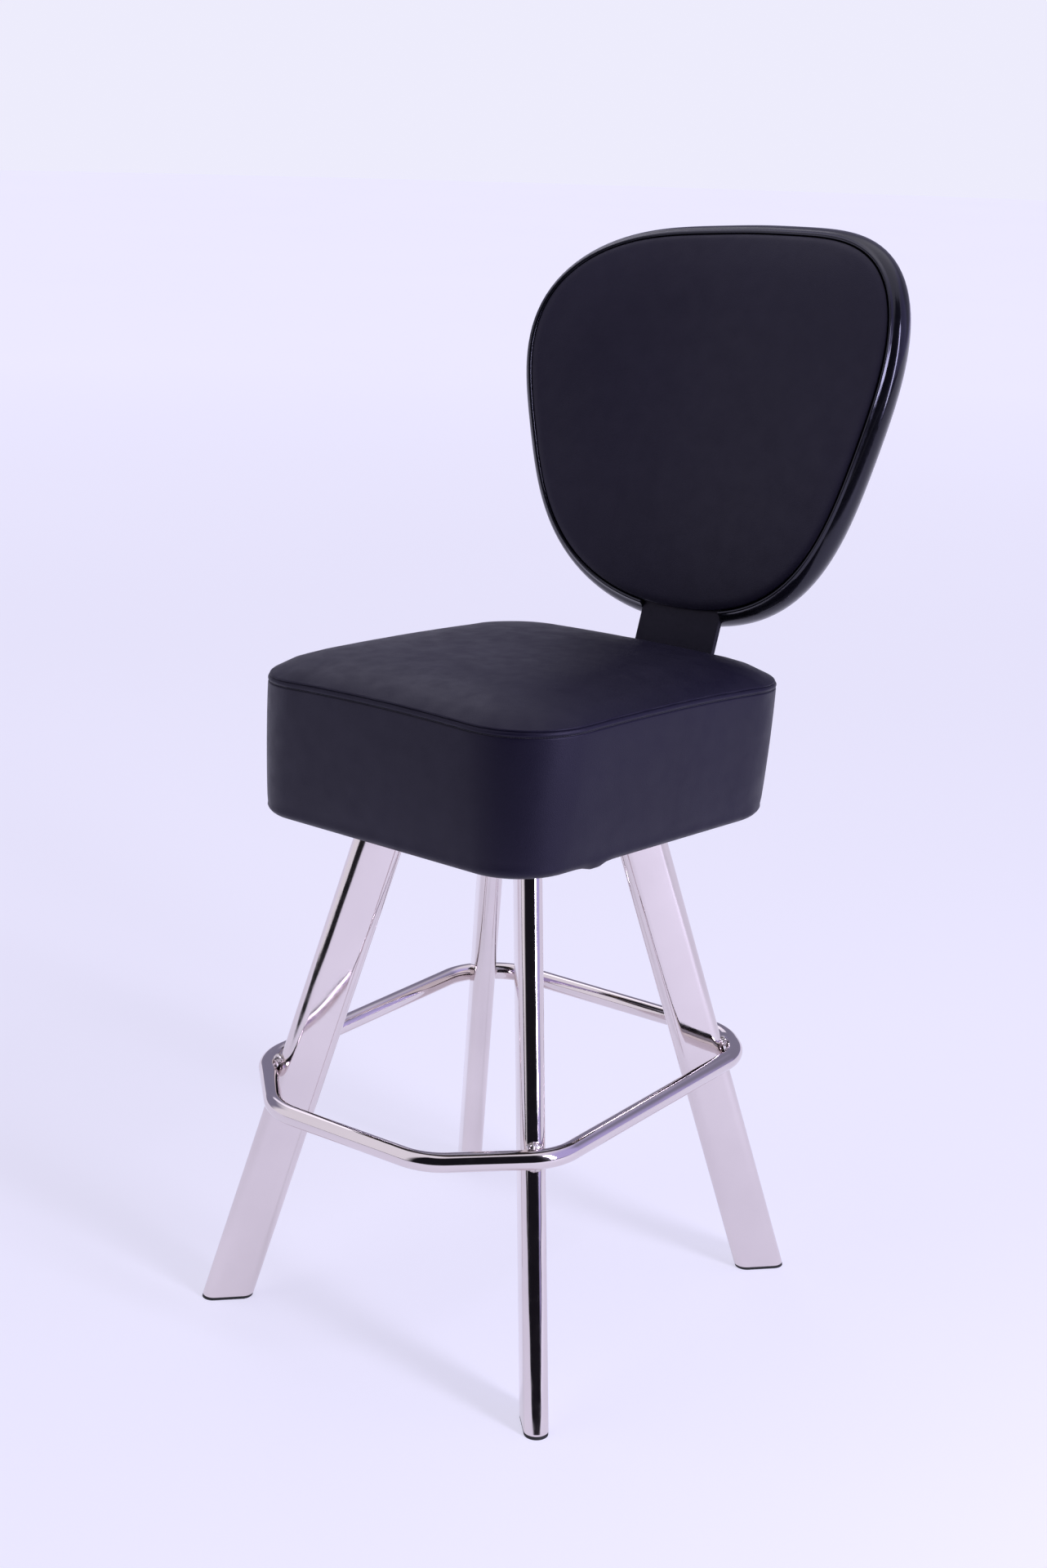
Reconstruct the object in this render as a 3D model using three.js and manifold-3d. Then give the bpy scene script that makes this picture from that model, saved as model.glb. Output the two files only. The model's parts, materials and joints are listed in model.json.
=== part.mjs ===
// A fixed-height swivel bar stool: four splayed flat-oval legs with a bent foot ring, a swivel
// under a tall box cushion, and a curved backrest carried by one flat steel bracket.
// Millimetres, +Z up. The base faces -Y and stands on z = 0. The seat is turned a little on its swivel.
import * as THREE from "three";
import { mergeVertices } from "three/addons/utils/BufferGeometryUtils.js";
import Module from "manifold-3d";

const wasm = await Module();
wasm.setup();

// ---- Driving dimensions ----
const GAP = 0.3; // clearance between pieces that touch
const FULL_TURN = 2 * Math.PI;

const LEG_WIDTH = 56.5; // flat-oval tube, across the wide side
const LEG_THICKNESS = 27;
const LEG_WALL = 2;
const LEG_FOOT_RADIUS = 319.7; // leg centre line from the swivel axis, at the floor
const LEG_SLOPE = 0.3104; // inward run for each unit of height
const LEG_AZIMUTH = THREE.MathUtils.degToRad(46.1); // legs from the side-to-side axis
const LEG_SPLAY = Math.atan(LEG_SLOPE);
const LEG_SECTION_LENGTH = LEG_WIDTH / Math.cos(LEG_SPLAY); // the wide side, cut level

const GLIDE_FLANGE = 3;
const GLIDE_PLUG_HEIGHT = 15;

const RING_HEIGHT = 286; // centre line of the foot ring
const RING_TUBE_RADIUS = 10.6;
const RING_FRONT = 278.4; // centre line, from the swivel axis
const RING_BACK = 226.1;
const RING_SIDE = 204.2;
// Across the legs, the ring's tube rests against each leg's outer face, where its side bends begin.
const LEG_FACE_AT_RING = LEG_FOOT_RADIUS - LEG_SLOPE * RING_HEIGHT + LEG_SECTION_LENGTH / 2;
const RING_CORNER = LEG_FACE_AT_RING + (RING_TUBE_RADIUS + 2 * GAP) / Math.cos(LEG_SPLAY);
const RING_BEND_RADIUS = 66;

const BASE_PLATE_BOTTOM = 571;
const BASE_PLATE_THICKNESS = 6;
const BASE_PLATE_SIZE = 250;
const SWIVEL_PLATE_SIZE = 160;
const SWIVEL_PLATE_THICKNESS = 4;
const SWIVEL_BOLT_OFFSET = 60; // each way from the axis
const RACE_HEIGHT = 7.7;
const PIVOT_RADIUS = 10;
const PIVOT_HOLE = 11;
const BOLT_RADIUS = 4;
const BOLT_HOLE = 4.6;
const SCREW_RADIUS = 2.5;
const SCREW_HOLE = 3;

const SEAT_YAW = THREE.MathUtils.degToRad(-6.8); // how far the seat is turned on its swivel
const SEAT_CENTRE_Y = 9.5; // behind the swivel axis
// The cushion's outline in plan, under its bottom rounding and at its top seam.
const SEAT_LOW = { width: 424.8, depth: 441.3, frontCorner: 67.6, backCorner: 81.6 };
const SEAT_HIGH = { width: 445.4, depth: 446, frontCorner: 90.2, backCorner: 77.8 };
const SEAT_SIDE_BULGE = 2.6; // how far the boxing stands out at mid height
const SEAT_BOTTOM = 582.9;
const SEAT_SEAM = 742; // height of the top seam, over the seat's centre
const SEAT_EDGE_RADIUS = 11.2; // rounding of the bottom edge
const SEAT_FALL = 0.0254; // fall of the top seam towards the back
const SEAT_BOTTOM_FALL = 0.0165;
const SEAT_SIDE_RISE = 0.0342; // the cushion sits a little higher on its right
const SEAT_CORNER_DIP = 7.3; // how far the top seam droops towards its corners
const SEAT_CROWN = 25.6;
const BOARD_THICKNESS = 15;
const BOARD_INSET = 13;
const BOARD_CORNER = 68;

const BRACKET_WIDTH = 116;
const BRACKET_THICKNESS = 6;
const BRACKET_BACK_Y = 248; // centre of the upright, behind the swivel axis
const BRACKET_FRONT_Y = 108; // front end of the foot under the seat board
const BRACKET_BEND_RADIUS = 15;
const BRACKET_TOP_Z = 905;

const BACK_TILT = THREE.MathUtils.degToRad(16.9);
const BACK_LEAN = THREE.MathUtils.degToRad(3.05); // in its own plane, top to the left
const BACK_LEAN_PIVOT = -150; // up the plane from BACK_Z, where the bracket holds it
const BACK_Y = 328.3; // the pad's edge plane, at BACK_Z
const BACK_Z = 936;
const BACK_BEND_RADIUS = 549; // the backrest curves round the sitter
const BACK_CENTRE = 105.3; // centre of the outline, up the plane from BACK_Z
// The outline is a rounded triangle: its radius is a mean plus a few harmonics of the angle.
const BACK_OUTLINE = { mean: 241.5, lift: -42.2, width: 15.4, taper: 14.3, corners: -3.1, shoulders: 6.1 };
const BACK_SEGMENTS = 44;
const PAD_CROWN = 26;
const PAD_BACK = 2.2; // depth of the pad's flat back behind its edge plane
const PLATE_DEPTH = 4.5; // depth of the bracket's front face
const BACK_BOARD_FRONT = 3.6;
const BACK_BOARD_BACK = 10.8;
const SHELL_FLOOR = 12.3;
const SHELL_DEPTH = 42;
const RIM = { proud: -5.3, depth: 22.5, radius: 21 };

// ---- Materials ----
function material(color, roughness, metalness) {
  return new THREE.MeshStandardMaterial({ color, roughness, metalness });
}

const chrome = material(0xd8d4dc, 0.08, 1);
const steel = material(0x8a8c90, 0.45, 1);
const zinc = material(0xa9acb2, 0.35, 1);
const blackSteel = material(0x15151a, 0.4, 0.6);
const blackVinyl = material(0x23222f, 0.5, 0);
const glossBlack = material(0x0b0b0f, 0.12, 0);
const blackRubber = material(0x101013, 0.7, 0);
const blackCloth = material(0x18181a, 0.95, 0);
const plywood = material(0xb58f62, 0.7, 0);

// ---- Solids ----
function toSolid(geometry) {
  const bare = geometry.clone();
  bare.deleteAttribute("normal");
  bare.deleteAttribute("uv");
  const merged = mergeVertices(bare, 1e-4);
  const vertProperties = new Float32Array(merged.attributes.position.array);
  const triVerts = new Uint32Array(merged.index.array);
  return new wasm.Manifold(new wasm.Mesh({ numProp: 3, vertProperties, triVerts }));
}

function toGeometry(solid) {
  const mesh = solid.getMesh();
  const geometry = new THREE.BufferGeometry();
  geometry.setAttribute("position", new THREE.BufferAttribute(new Float32Array(mesh.vertProperties), 3));
  geometry.setIndex(new THREE.BufferAttribute(new Uint32Array(mesh.triVerts), 1));
  geometry.computeVertexNormals();
  return geometry;
}

function cut(geometry, tools) {
  let solid = toSolid(geometry);
  for (const tool of tools) solid = solid.subtract(toSolid(tool));
  return toGeometry(solid);
}

function join(first, second) {
  return toGeometry(toSolid(first).add(toSolid(second)));
}

function addPiece(parent, name, geometry, look) {
  const mesh = new THREE.Mesh(geometry, look);
  mesh.name = name;
  parent.add(mesh);
  return mesh;
}

function extrude(shape, height, bottom = 0, curveSegments = 8) {
  const geometry = new THREE.ExtrudeGeometry(shape, { depth: height, bevelEnabled: false, curveSegments });
  return geometry.translate(0, 0, bottom);
}

function cylinder(radius, height, bottom, x = 0, y = 0, sides = 20) {
  const geometry = new THREE.CylinderGeometry(radius, radius, height, sides);
  return geometry.rotateX(Math.PI / 2).translate(x, y, bottom + height / 2);
}

function moveVertices(geometry, move) {
  const position = geometry.attributes.position;
  const point = new THREE.Vector3();
  for (let i = 0; i < position.count; i += 1) {
    point.fromBufferAttribute(position, i);
    move(point, i);
    position.setXYZ(i, point.x, point.y, point.z);
  }
  return geometry;
}

// ---- Outlines ----
function circlePath(radius, x = 0, y = 0) {
  return new THREE.Path().absarc(x, y, radius, 0, FULL_TURN, true);
}

function flatOvalShape(length, width) {
  const half = (length - width) / 2;
  const shape = new THREE.Shape();
  shape.moveTo(-half, -width / 2);
  shape.lineTo(half, -width / 2);
  shape.absarc(half, 0, width / 2, -Math.PI / 2, Math.PI / 2);
  shape.lineTo(-half, width / 2);
  shape.absarc(-half, 0, width / 2, Math.PI / 2, 1.5 * Math.PI);
  return shape;
}

function roundedRectangle(width, depth, corner) {
  const x = width / 2 - corner;
  const y = depth / 2 - corner;
  const shape = new THREE.Shape();
  shape.absarc(x, -y, corner, -Math.PI / 2, 0);
  shape.absarc(x, y, corner, 0, Math.PI / 2);
  shape.absarc(-x, y, corner, Math.PI / 2, Math.PI);
  shape.absarc(-x, -y, corner, Math.PI, 1.5 * Math.PI);
  shape.closePath();
  return shape;
}

function fourCorners(offset) {
  return [[offset, offset], [-offset, offset], [-offset, -offset], [offset, -offset]];
}

// ---- Base ----
// A leg's own frame has +X outward along its splay; the section is level at every height.
function leanLeg(geometry) {
  return moveVertices(geometry, (point) => {
    point.x += LEG_FOOT_RADIUS - LEG_SLOPE * point.z;
  });
}

function legSection(grow) {
  return flatOvalShape(LEG_SECTION_LENGTH + 2 * grow, LEG_THICKNESS + 2 * grow);
}

function legGeometry() {
  const section = legSection(0);
  section.holes.push(legSection(-LEG_WALL));
  const bottom = GLIDE_FLANGE + GAP;
  return leanLeg(extrude(section, BASE_PLATE_BOTTOM - GAP - bottom, bottom));
}

function glideGeometry() {
  const flange = extrude(legSection(-0.4), GLIDE_FLANGE);
  const plug = extrude(legSection(-LEG_WALL - GAP), GLIDE_PLUG_HEIGHT, GLIDE_FLANGE / 2);
  return leanLeg(join(flange, plug));
}

// A weld bead fills the nook between the foot ring and a leg's outer face.
function weldGeometry(rise, azimuth) {
  const bead = new THREE.SphereGeometry(1, 10, 6).scale(6.5, 9, 5.5);
  const z = RING_HEIGHT + rise;
  const faceX = LEG_FOOT_RADIUS - LEG_SLOPE * z + LEG_SECTION_LENGTH / 2;
  bead.translate(faceX + 1.5, 0, z);
  const leg = leanLeg(extrude(legSection(GAP), 60, RING_HEIGHT - 30));
  return cut(bead, [leg, footRingGeometry(GAP).rotateZ(-azimuth)]);
}

// The octagon's corner where two sides meet, each side given by its outward angle and distance.
function sideCrossing(first, second) {
  const scale = Math.sin(second.angle - first.angle);
  const x = (first.distance * Math.sin(second.angle) - second.distance * Math.sin(first.angle)) / scale;
  const y = (second.distance * Math.cos(first.angle) - first.distance * Math.cos(second.angle)) / scale;
  return new THREE.Vector2(x, y);
}

// A path with straight sides and round bends at the given corners, listed counterclockwise.
function bentPath(corners, radius) {
  const path = new THREE.Path();
  corners.forEach((corner, i) => {
    const before = corners[(i + corners.length - 1) % corners.length];
    const after = corners[(i + 1) % corners.length];
    const arriving = corner.clone().sub(before).normalize();
    const leaving = after.clone().sub(corner).normalize();
    const turn = Math.acos(arriving.dot(leaving));
    const start = corner.clone().addScaledVector(arriving, -radius * Math.tan(turn / 2));
    const centre = start.clone().add(new THREE.Vector2(-arriving.y, arriving.x).multiplyScalar(radius));
    const startAngle = Math.atan2(start.y - centre.y, start.x - centre.x);
    path.absarc(centre.x, centre.y, radius, startAngle, startAngle + turn);
  });
  path.closePath();
  return path;
}

function footRingPath() {
  const corner = (angle) => ({ angle, distance: RING_CORNER });
  const sides = [
    { angle: 0, distance: RING_SIDE },
    corner(LEG_AZIMUTH),
    { angle: Math.PI / 2, distance: RING_BACK },
    corner(Math.PI - LEG_AZIMUTH),
    { angle: Math.PI, distance: RING_SIDE },
    corner(Math.PI + LEG_AZIMUTH),
    { angle: 1.5 * Math.PI, distance: RING_FRONT },
    corner(FULL_TURN - LEG_AZIMUTH),
  ];
  const corners = sides.map((side, i) => sideCrossing(side, sides[(i + 1) % sides.length]));
  return bentPath(corners, RING_BEND_RADIUS);
}

// A torus laid along the ring's path, so that the bent tube closes on itself.
function footRingGeometry(grow) {
  const bendSteps = 2;
  const tubeSides = 12;
  const points = footRingPath().getPoints(bendSteps);
  const steps = points.length - 1;
  const radius = RING_TUBE_RADIUS + grow;
  const torus = new THREE.TorusGeometry(1, radius, tubeSides, steps);
  return moveVertices(torus, (point, index) => {
    const along = (index % (steps + 1)) % steps;
    const around = (Math.floor(index / (steps + 1)) / tubeSides) * FULL_TURN;
    const before = points[(along + steps - 1) % steps];
    const after = points[(along + 1) % steps];
    const outward = new THREE.Vector2(after.y - before.y, before.x - after.x).normalize();
    const reach = radius * Math.cos(around);
    point.x = points[along].x + outward.x * reach;
    point.y = points[along].y + outward.y * reach;
    point.z = RING_HEIGHT + radius * Math.sin(around);
  });
}

function drilledPlate(size, corner, thickness, bottom, centreHole, boltHole) {
  const shape = roundedRectangle(size, size, corner);
  shape.holes.push(circlePath(centreHole));
  for (const [x, y] of fourCorners(SWIVEL_BOLT_OFFSET)) shape.holes.push(circlePath(boltHole, x, y));
  return extrude(shape, thickness, bottom, 5);
}

const LOWER_PLATE_BOTTOM = BASE_PLATE_BOTTOM + BASE_PLATE_THICKNESS + GAP;
const RACE_BOTTOM = LOWER_PLATE_BOTTOM + SWIVEL_PLATE_THICKNESS + GAP;
const UPPER_PLATE_BOTTOM = RACE_BOTTOM + RACE_HEIGHT + GAP;
const BOARD_BOTTOM = UPPER_PLATE_BOTTOM + SWIVEL_PLATE_THICKNESS + GAP;

function raceGeometry() {
  const inner = 52;
  const outer = 66;
  const lip = 3;
  const profile = [
    new THREE.Vector2(inner, RACE_BOTTOM),
    new THREE.Vector2(outer, RACE_BOTTOM),
    new THREE.Vector2(outer, RACE_BOTTOM + RACE_HEIGHT - lip),
    new THREE.Vector2(outer - lip, RACE_BOTTOM + RACE_HEIGHT),
    new THREE.Vector2(inner + lip, RACE_BOTTOM + RACE_HEIGHT),
    new THREE.Vector2(inner, RACE_BOTTOM + RACE_HEIGHT - lip),
    new THREE.Vector2(inner, RACE_BOTTOM),
  ];
  return new THREE.LatheGeometry(profile, 24).rotateX(Math.PI / 2);
}

// A screw that points up: a head under z = seat, and a shank above it.
function screwGeometry(headRadius, headHeight, shankRadius, shankLength, seat, headSides) {
  const head = cylinder(headRadius, headHeight, seat - headHeight, 0, 0, headSides);
  const shank = cylinder(shankRadius, shankLength + headHeight / 2, seat - headHeight / 2, 0, 0, 8);
  return join(head, shank);
}

function addBase(parent) {
  const legs = [
    ["front_right", -LEG_AZIMUTH],
    ["back_right", LEG_AZIMUTH],
    ["back_left", Math.PI - LEG_AZIMUTH],
    ["front_left", Math.PI + LEG_AZIMUTH],
  ];
  for (const [place, azimuth] of legs) {
    const arm = new THREE.Group();
    arm.rotation.z = azimuth;
    parent.add(arm);
    addPiece(arm, `leg_${place}`, legGeometry(), chrome);
    addPiece(arm, `glide_${place}`, glideGeometry(), blackRubber);
    addPiece(arm, `weld_above_${place}`, weldGeometry(8.5, azimuth), chrome);
    addPiece(arm, `weld_below_${place}`, weldGeometry(-11.5, azimuth), chrome);
  }
  addPiece(parent, "foot_ring", footRingGeometry(0), chrome);
  const basePlate = drilledPlate(BASE_PLATE_SIZE, 20, BASE_PLATE_THICKNESS, BASE_PLATE_BOTTOM, 20, BOLT_HOLE);
  addPiece(parent, "base_plate", basePlate, steel);
  const lowerPlate = drilledPlate(
    SWIVEL_PLATE_SIZE, 12, SWIVEL_PLATE_THICKNESS, LOWER_PLATE_BOTTOM, PIVOT_HOLE, BOLT_HOLE);
  addPiece(parent, "swivel_lower_plate", lowerPlate, steel);
  addPiece(parent, "swivel_ball_race", raceGeometry(), zinc);
  fourCorners(SWIVEL_BOLT_OFFSET).forEach(([x, y], i) => {
    const shankLength = LOWER_PLATE_BOTTOM + SWIVEL_PLATE_THICKNESS - BASE_PLATE_BOTTOM;
    const bolt = screwGeometry(7.5, 5, BOLT_RADIUS, shankLength, BASE_PLATE_BOTTOM - GAP, 6);
    addPiece(parent, `base_bolt_${i + 1}`, bolt, zinc).position.set(x, y, 0);
  });
}

// ---- Seat ----
function seatOutlinePoints(share, stepsPerCorner) {
  const at = (name) => THREE.MathUtils.lerp(SEAT_LOW[name], SEAT_HIGH[name], share);
  const x = at("width") / 2;
  const y = at("depth") / 2;
  const front = at("frontCorner");
  const back = at("backCorner");
  const shape = new THREE.Shape();
  shape.absarc(x - front, front - y, front, -Math.PI / 2, 0);
  shape.absarc(x - back, y - back, back, 0, Math.PI / 2);
  shape.absarc(back - x, y - back, back, Math.PI / 2, Math.PI);
  shape.absarc(front - x, front - y, front, Math.PI, 1.5 * Math.PI);
  return shape.getPoints(stepsPerCorner);
}

// A closed solid made of rings of points, one ring a row, that closes where a row's scale is 0.
function loftedGeometry(count, rows, place) {
  const profile = rows.map((row, i) => new THREE.Vector2(row.scale === 0 ? 0 : 1, i));
  const lathe = new THREE.LatheGeometry(profile, count);
  return moveVertices(lathe, (point, index) => {
    place(point, rows[index % rows.length], Math.floor(index / rows.length) % count);
  });
}

// The seam falls to the back, droops at the corners and rises to the right; the bottom does less.
function seatTilt(share, x, y) {
  const corner = (4 * x * y) / (SEAT_HIGH.width * SEAT_HIGH.depth);
  const top = SEAT_FALL * y + SEAT_CORNER_DIP * corner ** 2;
  return SEAT_SIDE_RISE * x - top * share - SEAT_BOTTOM_FALL * y * (1 - share);
}

function cushionGeometry() {
  const stepsPerCorner = 7;
  const height = SEAT_SEAM - SEAT_BOTTOM;
  const half = SEAT_LOW.width / 2;
  const edge = SEAT_EDGE_RADIUS;
  const rounding = edge * (1 - Math.SQRT1_2);
  const rows = [
    { share: 0, scale: 0, rise: 0 },
    { share: 0, scale: 1 - edge / half, rise: 0 },
    { share: rounding / height, scale: 1 - rounding / half, rise: 0 },
    { share: edge / height, scale: 1, rise: 0 },
    { share: 0.3, scale: 1 + 0.84 * SEAT_SIDE_BULGE / half, rise: 0 },
    { share: 0.7, scale: 1 + 0.84 * SEAT_SIDE_BULGE / half, rise: 0 },
    { share: 1, scale: 1, rise: 0 },
  ];
  for (const scale of [0.99, 0.97, 0.93, 0.87, 0.76, 0.5, 0]) {
    rows.push({ share: 1, scale, rise: SEAT_CROWN * (1 - scale ** 6) });
  }
  for (const row of rows) row.outline = seatOutlinePoints(row.share, stepsPerCorner);
  const body = loftedGeometry(rows[0].outline.length, rows, (point, row, around) => {
    point.x = row.outline[around].x * row.scale;
    point.y = row.outline[around].y * row.scale;
    point.z = SEAT_BOTTOM + height * row.share + row.rise + seatTilt(row.share, point.x, point.y);
  });
  body.translate(0, SEAT_CENTRE_Y, 0);
  const roomBottom = SEAT_BOTTOM - 20;
  const room = extrude(boardShape(GAP), BOARD_BOTTOM + BOARD_THICKNESS + GAP - roomBottom, roomBottom, 5);
  const notch = new THREE.BoxGeometry(BRACKET_WIDTH + 2, 80, 40);
  notch.translate(0, BRACKET_BACK_Y - 30, BOARD_BOTTOM + 0.2 - 20);
  return cut(body, [room.translate(0, SEAT_CENTRE_Y, 0), notch]);
}

function boardShape(grow) {
  const width = SEAT_LOW.width - 2 * BOARD_INSET + 2 * grow;
  const depth = SEAT_LOW.depth - 2 * BOARD_INSET + 2 * grow;
  return roundedRectangle(width, depth, BOARD_CORNER + grow);
}

const BRACKET_SCREWS = [[35, 130], [-35, 130], [35, 185], [-35, 185]];

function boardGeometry() {
  const shape = boardShape(0);
  const holes = fourCorners(SWIVEL_BOLT_OFFSET).concat(BRACKET_SCREWS);
  for (const [x, y] of holes) shape.holes.push(circlePath(SCREW_HOLE, x, y - SEAT_CENTRE_Y));
  return extrude(shape, BOARD_THICKNESS, BOARD_BOTTOM, 5).translate(0, SEAT_CENTRE_Y, 0);
}

const DUST_SLOT_END = 195; // the window's slot for the bracket is cut out to the back edge from here

// Thin black cloth stapled under the board, open round the swivel plate and the bracket.
function dustCoverGeometry() {
  const half = SWIVEL_PLATE_SIZE / 2 + 3;
  const slot = BRACKET_WIDTH / 2 + 3;
  const front = DUST_SLOT_END - SEAT_CENTRE_Y;
  const shape = roundedRectangle(384, 400, 62);
  const window = new THREE.Path();
  window.moveTo(-half, -half - SEAT_CENTRE_Y);
  window.lineTo(-half, half - SEAT_CENTRE_Y);
  window.lineTo(-slot, half - SEAT_CENTRE_Y);
  window.lineTo(-slot, front);
  window.lineTo(slot, front);
  window.lineTo(slot, half - SEAT_CENTRE_Y);
  window.lineTo(half, half - SEAT_CENTRE_Y);
  window.lineTo(half, -half - SEAT_CENTRE_Y);
  window.closePath();
  shape.holes.push(window);
  const thickness = 0.8;
  const sheet = extrude(shape, thickness, BOARD_BOTTOM - GAP - thickness, 5).translate(0, SEAT_CENTRE_Y, 0);
  const notch = new THREE.BoxGeometry(2 * slot, 60, 10).translate(0, DUST_SLOT_END + 25, BOARD_BOTTOM);
  return cut(sheet, [notch]);
}

// ---- Bracket ----
// The strip's side view, as x behind the swivel axis and y up, along the middle of its thickness.
function bracketCentreLine() {
  const footZ = BOARD_BOTTOM - GAP - BRACKET_THICKNESS / 2;
  const slope = Math.tan(BACK_TILT);
  const path = new THREE.Path();
  path.moveTo(BRACKET_FRONT_Y, footZ);
  path.lineTo(BRACKET_BACK_Y - BRACKET_BEND_RADIUS, footZ);
  path.absarc(BRACKET_BACK_Y - BRACKET_BEND_RADIUS, footZ + BRACKET_BEND_RADIUS, BRACKET_BEND_RADIUS,
    -Math.PI / 2, 0);
  // Above the knee the strip leans with the backrest, at its own depth behind the pad's edge plane.
  const leaningY = BACK_Y + (PLATE_DEPTH + BRACKET_THICKNESS / 2) / Math.cos(BACK_TILT);
  const knee = new THREE.Vector2(BRACKET_BACK_Y, BACK_Z + (BRACKET_BACK_Y - leaningY) / slope);
  const kneeRun = 18;
  path.lineTo(knee.x, knee.y - kneeRun);
  path.quadraticCurveTo(knee.x, knee.y, knee.x + kneeRun * Math.sin(BACK_TILT),
    knee.y + kneeRun * Math.cos(BACK_TILT));
  path.lineTo(knee.x + slope * (BRACKET_TOP_Z - knee.y), BRACKET_TOP_Z);
  return path;
}

function bracketGeometry() {
  const centre = bracketCentreLine().getPoints(6);
  const left = [];
  const right = [];
  centre.forEach((point, i) => {
    const before = centre[Math.max(i - 1, 0)];
    const after = centre[Math.min(i + 1, centre.length - 1)];
    const arriving = point.clone().sub(i ? before : point).normalize();
    const leaving = after.clone().sub(point).normalize();
    const along = arriving.add(leaving).normalize();
    const side = new THREE.Vector2(-along.y, along.x).multiplyScalar(BRACKET_THICKNESS / 2);
    left.push(point.clone().add(side));
    right.push(point.clone().sub(side));
  });
  const strip = extrude(new THREE.Shape(right.concat(left.reverse())), BRACKET_WIDTH, -BRACKET_WIDTH / 2);
  // The side view's x and y become the part's y and z, and its width lies along x.
  strip.rotateX(Math.PI / 2).rotateZ(Math.PI / 2);
  const footHoles = BRACKET_SCREWS.map(([x, y]) => cylinder(SCREW_HOLE, 40, BOARD_BOTTOM - 30, x, y, 8));
  const shellHoles = SHELL_SCREWS.map(([x, h]) => toSeatFrame(shellHole(x, h, PLATE_DEPTH - 4, 30)));
  return cut(strip, footHoles.concat(shellHoles));
}

// ---- Backrest ----
// The backrest's own frame lies on the pad's edge plane: +X across, +Z up it, +Y behind it.
function backrestGroup() {
  const group = new THREE.Group();
  group.position.set(0, BACK_Y, BACK_Z);
  group.rotation.x = -BACK_TILT;
  group.updateMatrix();
  return group;
}

function toSeatFrame(geometry) {
  return geometry.applyMatrix4(backrestGroup().matrix);
}

const SHELL_SCREWS = [[35, -60], [-35, -60], [35, -120], [-35, -120]];

function shellHole(x, h, fromDepth, length) {
  const tool = new THREE.CylinderGeometry(SCREW_HOLE, SCREW_HOLE, length, 8);
  return tool.translate(x, fromDepth + length / 2, h);
}

function backOutline() {
  const { mean, lift, width, taper, corners, shoulders } = BACK_OUTLINE;
  const points = [];
  for (let i = 0; i < BACK_SEGMENTS; i += 1) {
    const angle = (i / BACK_SEGMENTS) * FULL_TURN;
    const radius = mean + lift * Math.sin(angle) + width * Math.cos(2 * angle)
      + taper * Math.sin(3 * angle) + corners * Math.cos(4 * angle) + shoulders * Math.sin(5 * angle);
    points.push(new THREE.Vector2(radius * Math.cos(angle), radius * Math.sin(angle)));
  }
  return points;
}

// Rows run from the front's centre, over the edge, to the back's centre. A row's scale shrinks the
// outline about its centre, proud moves it outward and depth moves it back. The whole then bends,
// and leans to the left about the bracket.
function backrestGeometry(rows) {
  const outline = backOutline();
  const count = outline.length;
  return loftedGeometry(count, rows.slice().reverse(), (point, row, i) => {
    const edge = outline[i];
    const before = outline[(i + count - 1) % count];
    const after = outline[(i + 1) % count];
    const outward = new THREE.Vector2(after.y - before.y, before.x - after.x).normalize();
    const proud = row.proud ?? 0;
    const x = edge.x * row.scale + outward.x * proud;
    const h = edge.y * row.scale + outward.y * proud + BACK_CENTRE - BACK_LEAN_PIVOT;
    const depth = row.depth - (x * x) / (2 * BACK_BEND_RADIUS);
    const across = x * Math.cos(BACK_LEAN) - h * Math.sin(BACK_LEAN);
    const up = x * Math.sin(BACK_LEAN) + h * Math.cos(BACK_LEAN);
    point.set(across, depth, up + BACK_LEAN_PIVOT);
  });
}

// The room for the bracket's plate, open to the front and below.
function bracketPocket(back) {
  const top = (BRACKET_TOP_Z - BACK_Z) / Math.cos(BACK_TILT) + 12;
  const front = -30;
  const pocket = new THREE.BoxGeometry(BRACKET_WIDTH + 2 * GAP, back - front, 400);
  return pocket.translate(0, (back + front) / 2, top - 200);
}

// A face at one depth, from the outline's centre to a board's edge.
const BACK_BOARD_SCALE = 0.93;

function flatRows(depth) {
  return [0, 0.35, 0.65, BACK_BOARD_SCALE].map((scale) => ({ scale, depth }));
}

function padGeometry() {
  return backrestGeometry([
    { scale: 0, depth: -PAD_CROWN },
    { scale: 0.3, depth: -0.96 * PAD_CROWN },
    { scale: 0.55, depth: -0.85 * PAD_CROWN },
    { scale: 0.75, depth: -0.68 * PAD_CROWN },
    { scale: 0.92, depth: -0.36 * PAD_CROWN },
    { scale: 0.985, depth: -0.12 * PAD_CROWN },
    { scale: 0.998, depth: 0.2 },
    { scale: 0.985, depth: PAD_BACK },
    ...flatRows(PAD_BACK).reverse(),
  ]);
}

// A panel behind the pad, slotted from below for the bracket's plate.
function backBoardGeometry() {
  const panel = backrestGeometry([...flatRows(BACK_BOARD_FRONT), ...flatRows(BACK_BOARD_BACK).reverse()]);
  return cut(panel, [bracketPocket(BACK_BOARD_BACK + 20)]);
}

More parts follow.
